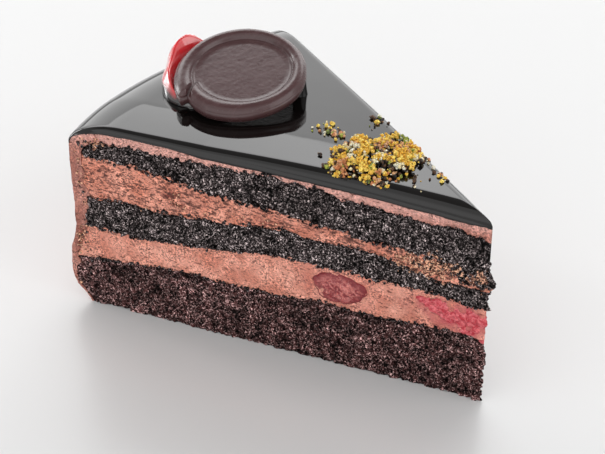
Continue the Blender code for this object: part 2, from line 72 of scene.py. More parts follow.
LOBES = {  # how far each torn border waves, and how ragged it is
    "bottom_sponge": (0.35 * MM, 0.35 * MM),
    "lower_mousse": (0.65 * MM, 0.40 * MM),
    "middle_sponge": (0.85 * MM, 0.45 * MM),
    "middle_mousse": (0.85 * MM, 0.50 * MM),
    "top_sponge": (1.35 * MM, 0.40 * MM),
}
LOBE_SIZE = 6.0 * MM
LEAST_MOUSSE = 0.35 * MM
PINCH_START = 8.0 * MM
PINCH_END = 12.5 * MM
WALL_HEIGHTS = np.array((0, 2.3, 5, 7, 9, 12.5, 16, 18.5, 21, 26, 33, 40, 47, 52)) * MM
WALL_OFFSETS = np.array((-3.2, -1.8, 0.9, 1.8, 2.3, 2.5, 2.2, 1.7, 0.9, -0.3, -0.2, 0, 0.2, 0.2)) * MM
COAT_AT_BASE = 2.6 * MM
COAT_GROWTH = 0.06
CORNER_START = 105 * MM
CORNER_DROPS = {"glaze": 9.0 * MM, "top_mousse": 5.6 * MM, "top_sponge": 3.8 * MM}
CORNER_ENDS = {"glaze": RADIUS + 1.2 * MM, "top_mousse": RADIUS, "top_sponge": RADIUS}
GLAZE_EDGE_WIDTH = 4.5 * MM
GLAZE_EDGE_DROP = 3.2 * MM
GLAZE_SLOPE_WIDTH = 16 * MM
GLAZE_SLOPE_DROP = 1.2 * MM
GLAZE_CUT_BULGE = 0.35 * MM
GLAZE_RIM_BULGE = 0.45 * MM
TIP_LUMP_HEIGHT = 38 * MM
TIP_LUMP_DEPTH = 2.3 * MM
TIP_LUMP_SPREAD = 2.2 * MM
TIP_LUMP_REACH = 2 * MM
TIP_TEAR_REACH = 4 * MM

# Directions on the top of the cake: the medallion faces the side that the slice is shown from
SHOWN_FROM = math.radians(42.8)
SIDEWAYS = Vector((math.cos(SHOWN_FROM), math.sin(SHOWN_FROM), 0))
AWAY = Vector((-math.sin(SHOWN_FROM), math.cos(SHOWN_FROM), 0))

MEDALLION_CENTRE = Vector((-87.1 * MM, 1.2 * MM, 0))
MEDALLION_LIFT = 4.55 * MM
MEDALLION_RADIUS = 17.8 * MM
MEDALLION_BORDER = 4.4 * MM
MEDALLION_HEIGHT = 4.2 * MM
MEDALLION_FLOOR = 2.5 * MM
MEDALLION_BACK_UP = math.radians(12)
MEDALLION_RIGHT_UP = math.radians(2)
FOLD_ANGLE = math.radians(214)
FOLD_SLANT = math.radians(15)
DAB_PLACE = (15.2 * MM, -0.6 * MM)
DAB_RADIUS = 2.0 * MM

FRUIT_FRONT = (-12.8 * MM, 2.8 * MM)
FRUIT_BACK = (-15.3 * MM, 15.3 * MM)
FRUIT_HALF_WIDTHS = (12.7 * MM, 5.2 * MM)
FRUIT_HEIGHTS = (9.9 * MM, 14 * MM)
FRUIT_ENDS = (12.2 * MM, 3.2 * MM)
FRUIT_ARC_STEPS = 48
FRUIT_UNDER_STEPS = 12

FACE_CHERRY = {"distance": 40.5 * MM, "height": 25.3 * MM, "half_width": 7.7 * MM, "half_height": 4.7 * MM}
TIP_CHERRY_REACH = 19 * MM

HEAP_CENTRE = Vector((-36.5 * MM, -2.3 * MM, 0))
HEAP_HALF_WIDTH = 12.2 * MM
HEAP_HALF_DEPTH = 8.0 * MM
HEAP_HEIGHT = 2.6 * MM

# Camera
CAMERA_AZIMUTH = math.radians(42.8)
CAMERA_ELEVATION = math.radians(33.23)
CAMERA_DISTANCE = 454.97 * MM
CAMERA_LENS = 98.0
CAMERA_SLIDE = (-3.02 * MM, -1.47 * MM)


# Repeatable noise on arrays of points


def hashed(x, y, z, seed):
    """Repeatable random numbers from 0 to 1 for whole-numbered places."""
    mixed = (x * 374761393 + y * 668265263 + z * 1274126177 + seed * 974634777) & 0xFFFFFFFF
    mixed = ((mixed ^ (mixed >> 13)) * 1103515245) & 0xFFFFFFFF
    mixed = ((mixed ^ (mixed >> 15)) * 668265263) & 0xFFFFFFFF
    return ((mixed ^ (mixed >> 16)) & 0xFFFFFF) / 0xFFFFFF


def smooth_noise(points, size, seed=0):
    """Soft noise from -1 to 1 with features of the given size."""
    place = points / size
    whole = np.floor(place).astype(np.int64)
    part = place - whole
    part = part * part * (3 - 2 * part)
    total = 0
    for corner in np.ndindex(2, 2, 2):
        weight = np.prod(np.where(np.array(corner) == 1, part, 1 - part), axis=-1)
        x, y, z = (whole[..., axis] + corner[axis] for axis in range(3))
        total = total + weight * hashed(x, y, z, seed)
    return 2 * total - 1


def cell_noise(points, size, seed=0):
    """Distances to the nearest two of scattered centres, in cells, and a random number of the nearest's."""
    place = points / size
    whole = np.floor(place).astype(np.int64)
    first = np.full(place.shape[:-1], 9.0)
    second = first.copy()
    number = np.zeros_like(first)
    for step in np.ndindex(3, 3, 3):
        cell = whole + np.array(step) - 1
        x, y, z = (cell[..., axis] for axis in range(3))
        centre = cell + np.stack([hashed(x, y, z, seed + 11 * axis) for axis in range(3)], axis=-1)
        gap = np.linalg.norm(place - centre, axis=-1)
        nearer = gap < first
        second = np.where(nearer, first, np.minimum(second, gap))
        number = np.where(nearer, hashed(x, y, z, seed + 77), number)
        first = np.where(nearer, gap, first)
    return first, second, number


# The cake's inner layout


def smooth_stations(values, place):
    """A smooth curve through evenly spaced values, read at places counted in steps."""
    values = np.asarray(values, float)
    last = len(values) - 1
    place = np.clip(place, 0, last)
    i = np.minimum(place.astype(int), last - 1)
    t = place - i
    before, here, there, after = (values[np.clip(i + k, 0, last)] for k in (-1, 0, 1, 2))
    slope_here, slope_there = (there - before) / 2, (after - here) / 2
    return (
        (2 * t**3 - 3 * t**2 + 1) * here
        + (t**3 - 2 * t**2 + t) * slope_here
        + (3 * t**2 - 2 * t**3) * there
        + (t**3 - t**2) * slope_there
    )


def corner_drop(layer, r):
    """How far the round corner at the rim lowers a layer's top, at r from the tip."""
    if layer not in CORNER_DROPS:
        return 0
    share = np.clip((r - CORNER_START) / (CORNER_ENDS[layer] - CORNER_START), 0, 1)
    return CORNER_DROPS[layer] * (1 - (1 - share**2.2) ** (1 / 2.2))


def layer_top(layer, r, angle):
    """Height of a layer's top, with the lobes that the torn sponge presses into the mousse."""
    r, angle = np.broadcast_arrays(np.asarray(r, float), np.asarray(angle, float))
    height = smooth_stations(LAYER_TOPS[layer], r / STATION) * MM
    if layer == "middle_mousse":
        below = smooth_stations(LAYER_TOPS["middle_sponge"], r / STATION) * MM
        open_share = np.clip((r - PINCH_START) / (PINCH_END - PINCH_START), 0.04, 1)
        height = below + (height - below) * np.sqrt(open_share)
    height = height - corner_drop(layer, r)
    wave, ragged = LOBES.get(layer, (0, 0))
    if wave:
        seed = list(LAYER_TOPS).index(layer)
        place = np.stack([r, r * angle, np.zeros_like(r)], axis=-1)
        lobe, _, _ = cell_noise(place, LOBE_SIZE, seed)
        tear, _, _ = cell_noise(place, 1.5 * MM, seed + 3)
        fine = smooth_noise(place, 0.7 * MM, seed + 5)
        height = height + 1.6 * wave * (0.45 - lobe) + ragged * (1.4 * (0.45 - tear) + 0.5 * fine)
    if layer == "top_sponge":
        height = np.minimum(height, layer_top("top_mousse", r, angle) - LEAST_MOUSSE)
    return height


def wall_radius(z):
    """The cake's outer radius at a height."""
    return RADIUS + np.interp(z, WALL_HEIGHTS, WALL_OFFSETS)


def inner_radius(z):
    """Where the layers end inside the coat of mousse, with the coat's unevenness."""
    z = np.asarray(z, float)
    place = np.stack([z, np.zeros_like(z), np.zeros_like(z)], axis=-1)
    uneven = 1.5 * MM * smooth_noise(place, 7 * MM, 91) + 0.8 * MM * smooth_noise(place, 1.8 * MM, 93)
    return wall_radius(z) - COAT_AT_BASE - COAT_GROWTH * z + uneven


def polar(r, angle, z):
    """Points r from the tip: angle 0 points along -X, and a negative angle is towards the front cut."""
    r, angle, z = np.broadcast_arrays(r, angle, z)
    return np.stack([TIP_X - r * np.cos(angle), r * np.sin(angle), z], axis=-1)


def outward(side):
    """The direction out of a cut face: side -1 is the front cut and 1 the other."""
    return np.array((math.sin(HALF_ANGLE), side * math.cos(HALF_ANGLE), 0))


def edge_distance(r, angle):
    return r * (HALF_ANGLE - np.abs(angle))


def glaze_height(r, angle):
    """The glaze's top: flat, round at the cut edges, and turned down at the rim.

    Towards the rim the edges are less round, and the one at the front cut has a gentle slope before it.
    """
    sharpness = np.clip((r - 20 * MM) / (90 * MM), 0, 1)
    width = GLAZE_EDGE_WIDTH * (0.85 - 0.5 * sharpness)
    gentle = np.clip((r - 35 * MM) / (45 * MM), 0, 1) * (angle < 0)
    drop = GLAZE_EDGE_DROP * (1 - 0.45 * sharpness - 0.27 * gentle)
    slope = 1 - np.clip(edge_distance(r, angle) / GLAZE_SLOPE_WIDTH, 0, 1)
    share = 1 - np.clip(edge_distance(r, angle) / width, 0, 1)
    height = layer_top("glaze", r, angle) - drop * (1 - np.sqrt(1 - share**2))
    return height - GLAZE_SLOPE_DROP * gentle * slope**1.3


# Building and dressing pieces


def add_object(name, data):
    """Puts an object with the given data into the scene."""
    thing = bpy.data.objects.new(name, data)
    bpy.context.scene.collection.objects.link(thing)
    return thing


def add_mesh(name, points, faces, material, smooth=True):
    """Makes a piece that rides with the cake, faces outwards and has the material."""
    mesh = bpy.data.meshes.new(name)
    mesh.from_pydata([tuple(point) for point in points], [], [tuple(map(int, face)) for face in faces])
    shape = bmesh.new()
    shape.from_mesh(mesh)
    bmesh.ops.recalc_face_normals(shape, faces=shape.faces)
    shape.to_mesh(mesh)
    shape.free()
    if smooth:
        mesh.shade_smooth()
    mesh.materials.append(material)
    piece = add_object(name, mesh)
    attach(piece, "root")
    return piece


def set_attribute(piece, name, values):
    layer = piece.data.attributes.new(name, "FLOAT", "POINT")
    layer.data.foreach_set("value", np.asarray(values, np.float32).ravel())


def numbered(rows, columns, start=0):
    """A table of vertex numbers, counted row by row."""
    return start + np.arange(rows * columns).reshape(rows, columns)


def grid_faces(index, wrap=False):
    """Quads between neighbours in a table of vertex numbers."""
    a, b = index[:-1, :-1], index[1:, :-1]
    c, d = index[1:, 1:], index[:-1, 1:]
    faces = np.stack([a, b, c, d], axis=-1).reshape(-1, 4)
    if wrap:
        closing = np.stack([index[:-1, -1], index[1:, -1], index[1:, 0], index[:-1, 0]], axis=-1)
        faces = np.concatenate([faces, closing.reshape(-1, 4)])
    return faces


class Sheets:
    """Grids of points that make one mesh together."""

    def __init__(self):
        self.points = []
        self.faces = []
        self.count = 0

    def add(self, grid, turned=False):
        """Adds a grid of points. A turned one has its faces the other way round."""
        index = numbered(*grid.shape[:2], self.count)
        self.faces.append(grid_faces(index[:, ::-1] if turned else index))
        self.points.append(grid.reshape(-1, 3))
        self.count += index.size

    def mesh(self, name, material):
        return add_mesh(name, np.concatenate(self.points), np.concatenate(self.faces), material)


def wedge_layer(name, material, low, high, reach, relief, length=RADIUS, step=0.3 * MM, rows=30, across=8):
    """A layer with fine cut faces, made of loops round the wedge from the tip out.

    low and high give heights at a distance and angle, reach the outer radius at a height, and relief how far
    a cut face stands out at its points.
    """
    rings = int(length / step)
    shares = np.linspace(0, 1, rings + 1)[:, None]
    loops = []
    up = np.linspace(0, 1, rows + 1)[None, :]
    for side in (-1, 1):
        angle = side * HALF_ANGLE
        nominal = shares * length
        bottom, top = low(nominal, angle), high(nominal, angle)
        z = bottom + (top - bottom) * up
        points = polar(shares * reach(z), angle, z)
        depth = relief(points) * (1 + 0.9 * np.exp(-((nominal / TIP_TEAR_REACH) ** 2)))
        room = 0.45 * nominal * math.sin(HALF_ANGLE)
        depth = np.maximum(depth, -room)
        direction = np.broadcast_to(outward(side), points.shape).copy()
        direction[0] = (1, 0, 0)
        from_lump = ((z - TIP_LUMP_HEIGHT) / TIP_LUMP_SPREAD) ** 2 + (nominal / TIP_LUMP_REACH) ** 2
        lump = TIP_LUMP_DEPTH * np.exp(-from_lump)
        points = points + direction * depth[..., None] + np.array((1, 0, 0)) * lump[..., None]
        loops.append(points)
    front, back = loops
    back[0] = front[0]
    mix = np.linspace(0, 1, across + 1)[1:-1][None, :, None]
    top_strip = front[:, -1:, :] * (1 - mix) + back[:, -1:, :] * mix
    base_strip = back[:, :1, :] * (1 - mix) + front[:, :1, :] * mix
    inner = np.linspace(-HALF_ANGLE, HALF_ANGLE, across + 1)[1:-1][None, :]
    top_strip[..., 2] = high(shares * length, inner)
    base_strip[..., 2] = low(shares * length, -inner)
    loop = np.concatenate([front, top_strip, back[:, ::-1], base_strip], axis=1)
    index = numbered(*loop.shape[:2])
    faces = [*grid_faces(index, wrap=True), index[-1]]
    return add_mesh(name, loop.reshape(-1, 3), faces, material), loop


def keep_tip_closed(piece):
    """Welds the doubled points where the two cut faces meet at the tip."""
    shape = bmesh.new()
    shape.from_mesh(piece.data)
    bmesh.ops.remove_doubles(shape, verts=shape.verts, dist=0.00001)
    shape.to_mesh(piece.data)
    shape.free()


# Materials

STAIN_COLOUR = (0.22, 0.042, 0.026)  # mousse that crumbs of sponge have stained
JUICE_COLOUR = (0.55, 0.10, 0.11)


class Paint:
    """Adds nodes to a node tree, with patterns that follow its texture coordinates."""

    def __init__(self, tree, coords="Object"):
        self.tree = tree
        self.coords = self.node("ShaderNodeTexCoord").outputs[coords]

    def set(self, socket, value):
        """Links an output to an input, or sets a plain value on it."""
        if isinstance(value, bpy.types.NodeSocket):
            self.tree.links.new(value, socket)
        elif isinstance(value, tuple) and len(value) == 3 and len(socket.default_value) == 4:
            socket.default_value = (*value, 1)
        else:
            socket.default_value = value

    def node(self, kind, inputs=None, **settings):
        """A new node with its settings, and with its inputs by name or number."""
        node = self.tree.nodes.new(kind)
        for name, value in settings.items():
            setattr(node, name, value)
        for name, value in (inputs or {}).items():
            self.set(node.inputs[name], value)
        return node

    def noise(self, size, detail=2.0, roughness=0.5, distortion=0.0, coords=None):
        inputs = {"Vector": coords or self.coords, "Scale": 1 / size, "Detail": detail}
        inputs |= {"Roughness": roughness, "Distortion": distortion}
        return self.node("ShaderNodeTexNoise", inputs).outputs["Fac"]

    def cells(self, size, output="Distance"):
        return self.node("ShaderNodeTexVoronoi", {"Vector": self.coords, "Scale": 1 / size}).outputs[output]

    def stretched(self, turn, scale):
        """Coordinates turned about Z and then scaled, for marks that run one way."""
        inputs = {"Vector": self.coords, "Rotation": (0, 0, turn), "Scale": scale}
        return self.node("ShaderNodeMapping", inputs, vector_type="TEXTURE").outputs["Vector"]

    def axis(self, name, coords=None):
        """The coordinates along X, Y or Z."""
        return self.node("ShaderNodeSeparateXYZ", {"Vector": coords or self.coords}).outputs[name]

    def ramp(self, factor, *stops):
        """A colour ramp through (place, colour) pairs; a colour can be one number."""
        node = self.node("ShaderNodeValToRGB", {"Fac": factor})
        marks = node.color_ramp.elements
        while len(marks) < len(stops):
            marks.new(0.5)
        for mark, (place, colour) in zip(marks, stops):
            mark.position = place
            mark.color = (*colour, 1) if isinstance(colour, tuple) else (colour, colour, colour, 1)
        return node.outputs["Color"]

    def mix(self, factor, first, second, blend="MIX"):
        inputs = {"Factor": factor, 6: first, 7: second}  # the node's colour inputs
        return self.node("ShaderNodeMix", inputs, data_type="RGBA", blend_type=blend).outputs[2]

    def maths(self, operation, first, second=0.0, clamp=False):
        inputs = {0: first, 1: second}
        return self.node("ShaderNodeMath", inputs, operation=operation, use_clamp=clamp).outputs[0]

    def times(self, first, second, clamp=False):
        return self.maths("MULTIPLY", first, second, clamp)

    def attribute(self, name):
        return self.node("ShaderNodeAttribute", attribute_name=name).outputs["Fac"]

    def surface(self, values, relief=None, depth=0.0, strength=1.0):
        """Sets the shader's inputs by name, and its bump from a relief and how deep that goes."""
        shader = self.tree.nodes["Principled BSDF"]
        if relief:
            inputs = {"Distance": depth, "Strength": strength, "Height": relief}
            values["Normal"] = self.node("ShaderNodeBump", inputs).outputs["Normal"]
        for name, value in values.items():
            self.set(shader.inputs[name], value)


def new_paint(name):
    """A new material and what paints it."""
    material = bpy.data.materials.new(name)
    material.use_nodes = True
    return material, Paint(material.node_tree)


def translucent(weight, radius, scale):
    """The shader's inputs for light that goes a little way into a surface."""
    return {"Subsurface Weight": weight, "Subsurface Radius": radius, "Subsurface Scale": scale}


def sponge_material(name, dark, mid, light):
    """Moist dark sponge: near-black crumbs, each its own shade, with painted glints and painted shade in its
    crevices.
    """
    material, paint = new_paint(name)
    tone = paint.cells(0.75 * MM, "Color")
    colour = paint.ramp(tone, (0.0, dark), (0.40, dark), (0.60, mid), (1.0, mid))
    # Painted glints: pale specks of painted highlight mixed into the crumbs' colour
    glints = paint.ramp(paint.noise(0.50 * MM, 3, 0.75), (0.535, 0.0), (0.64, 1.0))
    colour = paint.mix(glints, colour, light)
    # Painted shade from the depth attribute: near black deep in the crevices, a little lighter on raised
    # crumbs
    painted_relief_shade = paint.ramp(paint.attribute("depth"), (0.2, 0.03), (0.5, 0.45), (0.75, 1.25))
    patches = paint.ramp(paint.noise(2.6 * MM, 2), (0.36, 0.5), (0.64, 1.5))
    for shade in (painted_relief_shade, patches):
        colour = paint.mix(1.0, colour, shade, "MULTIPLY")
    rough = paint.maths("ADD", paint.noise(0.4 * MM, 3), paint.cells(0.75 * MM))
    paint.surface({"Base Color": colour, "Roughness": 0.5, "Specular IOR Level": 0.05}, rough, 0.45 * MM)
    return material


def mousse_material(name, pale, deep, brown, top=None, pore_share=0.32):
    """Whipped mousse that the knife dragged: grainy in patches, with dark pores, stained where points ask.

    top is the colour of the thin layer under the glaze. Only the coat has one, and upright streaks with it.
    pore_share sets how much of it is pores. Its grainy specks are partly painted light and shade, its pores
    painted shade.
    """
    material, paint = new_paint(name)
    clouds = paint.ramp(paint.noise(6 * MM, 3), (0.35, 0.0), (0.65, 1.0))
    colour = paint.mix(clouds, pale, deep)
    if top:
        streaks = paint.noise(1.2 * MM, 2, coords=paint.stretched(0.0, (1.0, 1.0, 6.0)))
        colour = paint.mix(paint.ramp(streaks, (0.33, 0.35), (0.45, 0.0)), colour, brown)
        colour = paint.mix(paint.ramp(streaks, (0.58, 0.0), (0.66, 0.35)), colour, top)
        near_top = paint.ramp(paint.times(paint.axis("Z"), 10.0), (0.515, 0.0), (0.54, 1.0))
        colour = paint.mix(near_top, colour, top)
    spots = paint.ramp(paint.noise(1.5 * MM, 3, 0.6), (0.48, 1.0), (0.55, 0.0))
    stain = paint.times(paint.attribute("stain"), spots, clamp=True)
    colour = paint.mix(stain, colour, STAIN_COLOUR)
    cut = paint.attribute("cut")
    # Grainy specks: the mousse's own texture and painted specks of highlight and shade, strongest on the cuts
    grain_and_painted_light = paint.ramp(paint.noise(0.55 * MM, 3, 0.7), (0.35, 0.2), (0.5, 1.0), (0.65, 1.75))
    patches = paint.ramp(paint.noise(4 * MM, 2), (0.42, 0.3), (0.58, 1.0))
    colour = paint.mix(paint.times(cut, patches), colour, grain_and_painted_light, "MULTIPLY")
    dragged = paint.stretched(HALF_ANGLE, (1.9, 1.0, 0.75))
    full_pore = pore_share + 0.05
    # Pores painted dark brown: painted shade in the pits, which the bump below also sinks
    pores = paint.ramp(paint.noise(0.7 * MM, 2, 0.6, coords=dragged), (pore_share, 1.0), (full_pore, 0.0))
    marks = paint.noise(1.5 * MM, 4, 0.75, coords=dragged)
    marks = paint.ramp(marks, (pore_share + 0.02, 1.0), (full_pore, 0.0))
    for dark, strength in ((pores, 0.8), (marks, 0.75)):
        colour = paint.mix(paint.times(dark, paint.times(cut, strength)), colour, brown)
    colour = paint.mix(paint.attribute("juice"), colour, JUICE_COLOUR)
    relief = paint.maths("SUBTRACT", paint.noise(0.55 * MM, 3), paint.times(pores, 1.2))
    inner_light = translucent(0.12, (0.9, 0.5, 0.35), 0.8 * MM)
    paint.surface({"Base Color": colour, "Roughness": 0.55, **inner_light}, relief, 0.45 * MM)
    return material


def glaze_material():
    """Dark mirror glaze, with the faintest waves."""
    material, paint = new_paint("mirror_glaze")
    colour = paint.mix(paint.noise(20 * MM), (0.003, 0.0025, 0.0025), (0.006, 0.0045, 0.004))
    waves = paint.noise(9 * MM, 1)
    paint.surface({"Base Color": colour, "Roughness": 0.045, "IOR": 1.5}, waves, 0.05 * MM, 0.5)
    return material


def chocolate_material():
    """Satin chocolate of the medallion, with soft smears from its mould."""
    material, paint = new_paint("medallion_chocolate")
    smear = paint.noise(1.6 * MM, 3, coords=paint.stretched(SHOWN_FROM + 0.5, (3.0, 1.0, 1.0)))
    colour = paint.mix(smear, (0.052, 0.022, 0.023), (0.092, 0.044, 0.045))
    roughness = paint.ramp(smear, (0.3, 0.20), (0.7, 0.32))
    paint.surface({"Base Color": colour, "Roughness": roughness}, paint.noise(1.2 * MM, 2), 0.08 * MM, 0.6)
    return material


def fruit_material():
    """Glazed red fruit: deep clear red under a wet skin, and nearly black low down round its foot."""
    material, paint = new_paint("glazed_fruit_skin")
    flesh = paint.mix(paint.noise(4 * MM, 2), (0.55, 0.006, 0.011), (0.82, 0.018, 0.026))
    uneven = paint.times(paint.noise(4 * MM, 2), 0.03)
    height = paint.maths("ADD", paint.times(paint.axis("Z"), 10.0), uneven)
    foot = paint.ramp(height, (0.632, 1.0), (0.650, 0.0))
    values = {"Base Color": paint.mix(foot, flesh, (0.014, 0.008, 0.008)), "Roughness": 0.22}
    values |= {"Coat Weight": 1.0, "Coat Roughness": 0.05, "Coat IOR": 1.8}
    values |= translucent(0.2, (1.0, 0.15, 0.1), 2 * MM)
    paint.surface(values, paint.noise(2.2 * MM, 2), 0.25 * MM, 0.6)
    return material


def cut_cherry_material(name, core, rim):
    """Soft flesh of a cut cherry: fibrous, moist and darker towards its skin."""
    material, paint = new_paint(name)
    fibres = paint.noise(1.3 * MM, 4, 0.7, 0.8)
    flesh = paint.mix(paint.ramp(fibres, (0.42, 0.0), (0.60, 1.0)), core, rim)
    edge = paint.ramp(paint.attribute("edge"), (0.6, 0.0), (0.95, 1.0))
    values = {"Base Color": paint.mix(edge, flesh, tuple(0.9 * value for value in core)), "Roughness": 0.28}
    values |= translucent(0.25, (1.0, 0.25, 0.2), 1.5 * MM)
    paint.surface(values, fibres, 0.5 * MM)
    return material


def crumb_material(name, first, second, size=1.0 * MM):
    """Biscuit and nut crumbs: each one its own shade between two colours, with fine specks partly of painted
    highlight and shade.
    """
    material, paint = new_paint(name)
    own = paint.ramp(paint.cells(size, "Color"), (0.35, 0.0), (0.65, 1.0))
    # Fine specks: partly the crumbs' own texture, partly painted highlight and shade
    grain_and_painted_light = paint.ramp(paint.noise(0.4 * MM, 2), (0.35, 0.6), (0.65, 1.3))
    colour = paint.mix(1.0, paint.mix(own, first, second), grain_and_painted_light, "MULTIPLY")
    values = {"Base Color": colour, "Roughness": 0.6, **translucent(0.1, (1.0, 0.7, 0.3), 0.6 * MM)}
    paint.surface(values, paint.noise(0.3 * MM, 2), 0.12 * MM, 0.8)
    return material


# The layers

MOUSSE_OVERLAP = 0.1 * MM  # how far a filling goes into the sponges over and under it
WALL_GRAIN_AND_PAINTED_LIGHT = 0.35  # how strongly the wall shows the cuts' grainy specks with their painted light and shade, and the pores painted dark as shade
COAT_STAINS = (
    (118, 40, 2.0, 14, 0.25), (119, 20, 2.0, 7, 0.55), (120, 8, 2.5, 6, 0.5), (113, 53.5, 2.2, 2.2, 0.75),
)


def sponge_relief(points):
    """Torn crumb: clumps parted by crevices, fine crumbs on them, and deep holes."""
    clump, next_clump, _ = cell_noise(points, 2.6 * MM, 3)
    crumb, _, number = cell_noise(points, 1.05 * MM, 9)
    crevice = np.clip((next_clump - clump) / 0.25, 0, 1)
    holes = np.clip(smooth_noise(points, 1.7 * MM, 21) - 0.4, 0, 1)
    return MM * (
        0.25 * smooth_noise(points, 6 * MM, 5)
        + 0.50 * (0.5 - clump)
        + 0.25 * (crevice - 0.6)
        + 0.75 * (0.55 - crumb) * (0.5 + number)
        - 1.7 * holes
    )


def mousse_relief(points):
    """Nearly smooth, with slight waves, small pits and drag marks along the cut, and torn patches."""
    pits, _, _ = cell_noise(points, 1.9 * MM, 31)
    drag = smooth_noise(points * np.array((0.25, 0.25, 1)), 0.9 * MM, 33)
    torn = np.clip(smooth_noise(points, 9 * MM, 39) + 0.1, 0, 1)
    grains, _, _ = cell_noise(points, 1.1 * MM, 43)
    return MM * (
        0.14 * smooth_noise(points, 5 * MM, 35)
        + 0.07 * drag
        + 0.07 * smooth_noise(points, 0.8 * MM, 37)
        + 0.9 * torn * (0.4 - grains)
        - 0.25 * np.clip(0.22 - pits, 0, 1) / 0.22
    )


def patch_values(points, patches):
    """How strong a stain is at the points, from patches (distance, height, two radii, amount) on the cuts."""
    r = np.hypot(points[..., 0] - TIP_X, points[..., 1])
    total = np.zeros(points.shape[:-1])
    for distance, height, wide, tall, amount in patches:
        near = ((r - distance * MM) / (wide * MM)) ** 2 + ((points[..., 2] - height * MM) / (tall * MM)) ** 2
        total += amount * np.exp(-near)
    return np.clip(total * (1 + 0.8 * smooth_noise(points, 1.6 * MM, 41)), 0, 1)


def layer_reach(z):
    return inner_radius(z) + 0.2 * MM


def add_sponge(node, below, above, rows, material):
    """A sponge layer with its torn faces; depth says how deep each point lies, for the painted shade in its
    crevices.
    """
    piece, loop = wedge_layer(
        f"{node}_crumb", material,
        low=lambda r, a: layer_top(below, r, a), high=lambda r, a: layer_top(above, r, a),
        reach=layer_reach, relief=sponge_relief, rows=rows,
    )
    set_attribute(piece, "depth", np.clip(0.6 + 0.5 * sponge_relief(loop) / MM, 0, 1))
    keep_tip_closed(piece)
    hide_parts(node)


def add_mousse(node, below, above, rows, material, stains, juices=()):
    """A layer of mousse, with its crumb stains and the fruit's juice in it."""
    piece, loop = wedge_layer(
        f"{node}_body", material,
        low=lambda r, a: layer_top(below, r, a) - MOUSSE_OVERLAP,
        high=lambda r, a: layer_top(above, r, a) + MOUSSE_OVERLAP,
        reach=layer_reach, relief=mousse_relief, rows=rows,
    )
    set_attribute(piece, "stain", patch_values(loop, stains))
    set_attribute(piece, "juice", patch_values(loop, juices))
    set_attribute(piece, "cut", np.ones(loop.shape[:-1]))
    keep_tip_closed(piece)
    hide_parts(node)


def coat_section(angle):
    """The coat's outside and inside at an angle, as points from the tip to the foot of the wall."""
    shares = np.concatenate([np.linspace(0, 0.9, 230)[:-1], np.linspace(0.9, 1, 50)])
    wall = np.linspace(float(layer_top("top_mousse", RADIUS, 0)), 0, 110)[1:]
    inside_top = float(layer_top("top_sponge", RADIUS, 0))
    inside = np.linspace(0, inside_top, 100)
    outer_r = np.concatenate([shares * RADIUS, wall_radius(wall)])
    outer_z = np.concatenate([layer_top("top_mousse", shares * RADIUS, angle), wall])
    wall_inside = np.interp(wall, inside, inner_radius(inside))
    inner_r = np.concatenate([shares * inner_radius(inside_top), wall_inside])
    inner_z = np.concatenate([layer_top("top_sponge", shares * RADIUS, angle), np.minimum(wall, inside_top)])
    outer = polar(outer_r, angle, outer_z)
    wall_points = outer[len(shares):]
    wall_points += wall_relief(wall_points)[:, None] * np.array((-math.cos(angle), math.sin(angle), 0))
    return outer, polar(inner_r, angle, inner_z)


def add_coat(material):
    """The mousse over the top and down the rim, as one section turned from cut to cut."""
    sections = [coat_section(angle) for angle in np.linspace(-HALF_ANGLE, HALF_ANGLE, 60)]
    across = np.linspace(0, 1, 10)[None, :, None]
    sheets = Sheets()
    cuts = []
    for side, (outer, inner) in ((-1, sections[0]), (1, sections[-1])):
        face = outer[:, None, :] * (1 - across) + inner[:, None, :] * across
        r = np.hypot(face[..., 0] - TIP_X, face[..., 1])
        depth = np.maximum(coat_relief(face), -0.4 * r * math.sin(HALF_ANGLE))
        cuts.append(face + outward(side) * depth[..., None])
        sheets.add(cuts[-1], turned=side > 0)
    cut_points = sheets.count
    for which in (0, 1):
        skin = np.stack([section[which] for section in sections], axis=1)
        skin[:, 0], skin[:, -1] = (cut[:, -which] for cut in cuts)
        sheets.add(skin)
    piece = sheets.mesh("mousse_coat_skin", material)
    points = np.concatenate(sheets.points)
    set_attribute(piece, "stain", patch_values(points, COAT_STAINS))
    set_attribute(piece, "juice", np.zeros(len(points)))
    set_attribute(piece, "cut", np.where(np.arange(len(points)) < cut_points, 1, WALL_GRAIN_AND_PAINTED_LIGHT))
    keep_tip_closed(piece)
    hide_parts("mousse_coat")


def wall_relief(points):
    """The outer wall's palette-knife waves."""
    return MM * (0.35 * smooth_noise(points, 9 * MM, 51) + 0.12 * smooth_noise(points, 2 * MM, 53))


def coat_relief(points):
    """The coat's cut: upright folds where the knife dragged it."""
    folds = smooth_noise(points * np.array((1, 1, 0.25)), 1.7 * MM, 55)
    grains, _, _ = cell_noise(points, 1.2 * MM, 59)
    return MM * (0.35 * folds + 0.12 * smooth_noise(points, 1.0 * MM, 57) + 0.3 * (0.45 - grains))


# The glaze and what lies on it


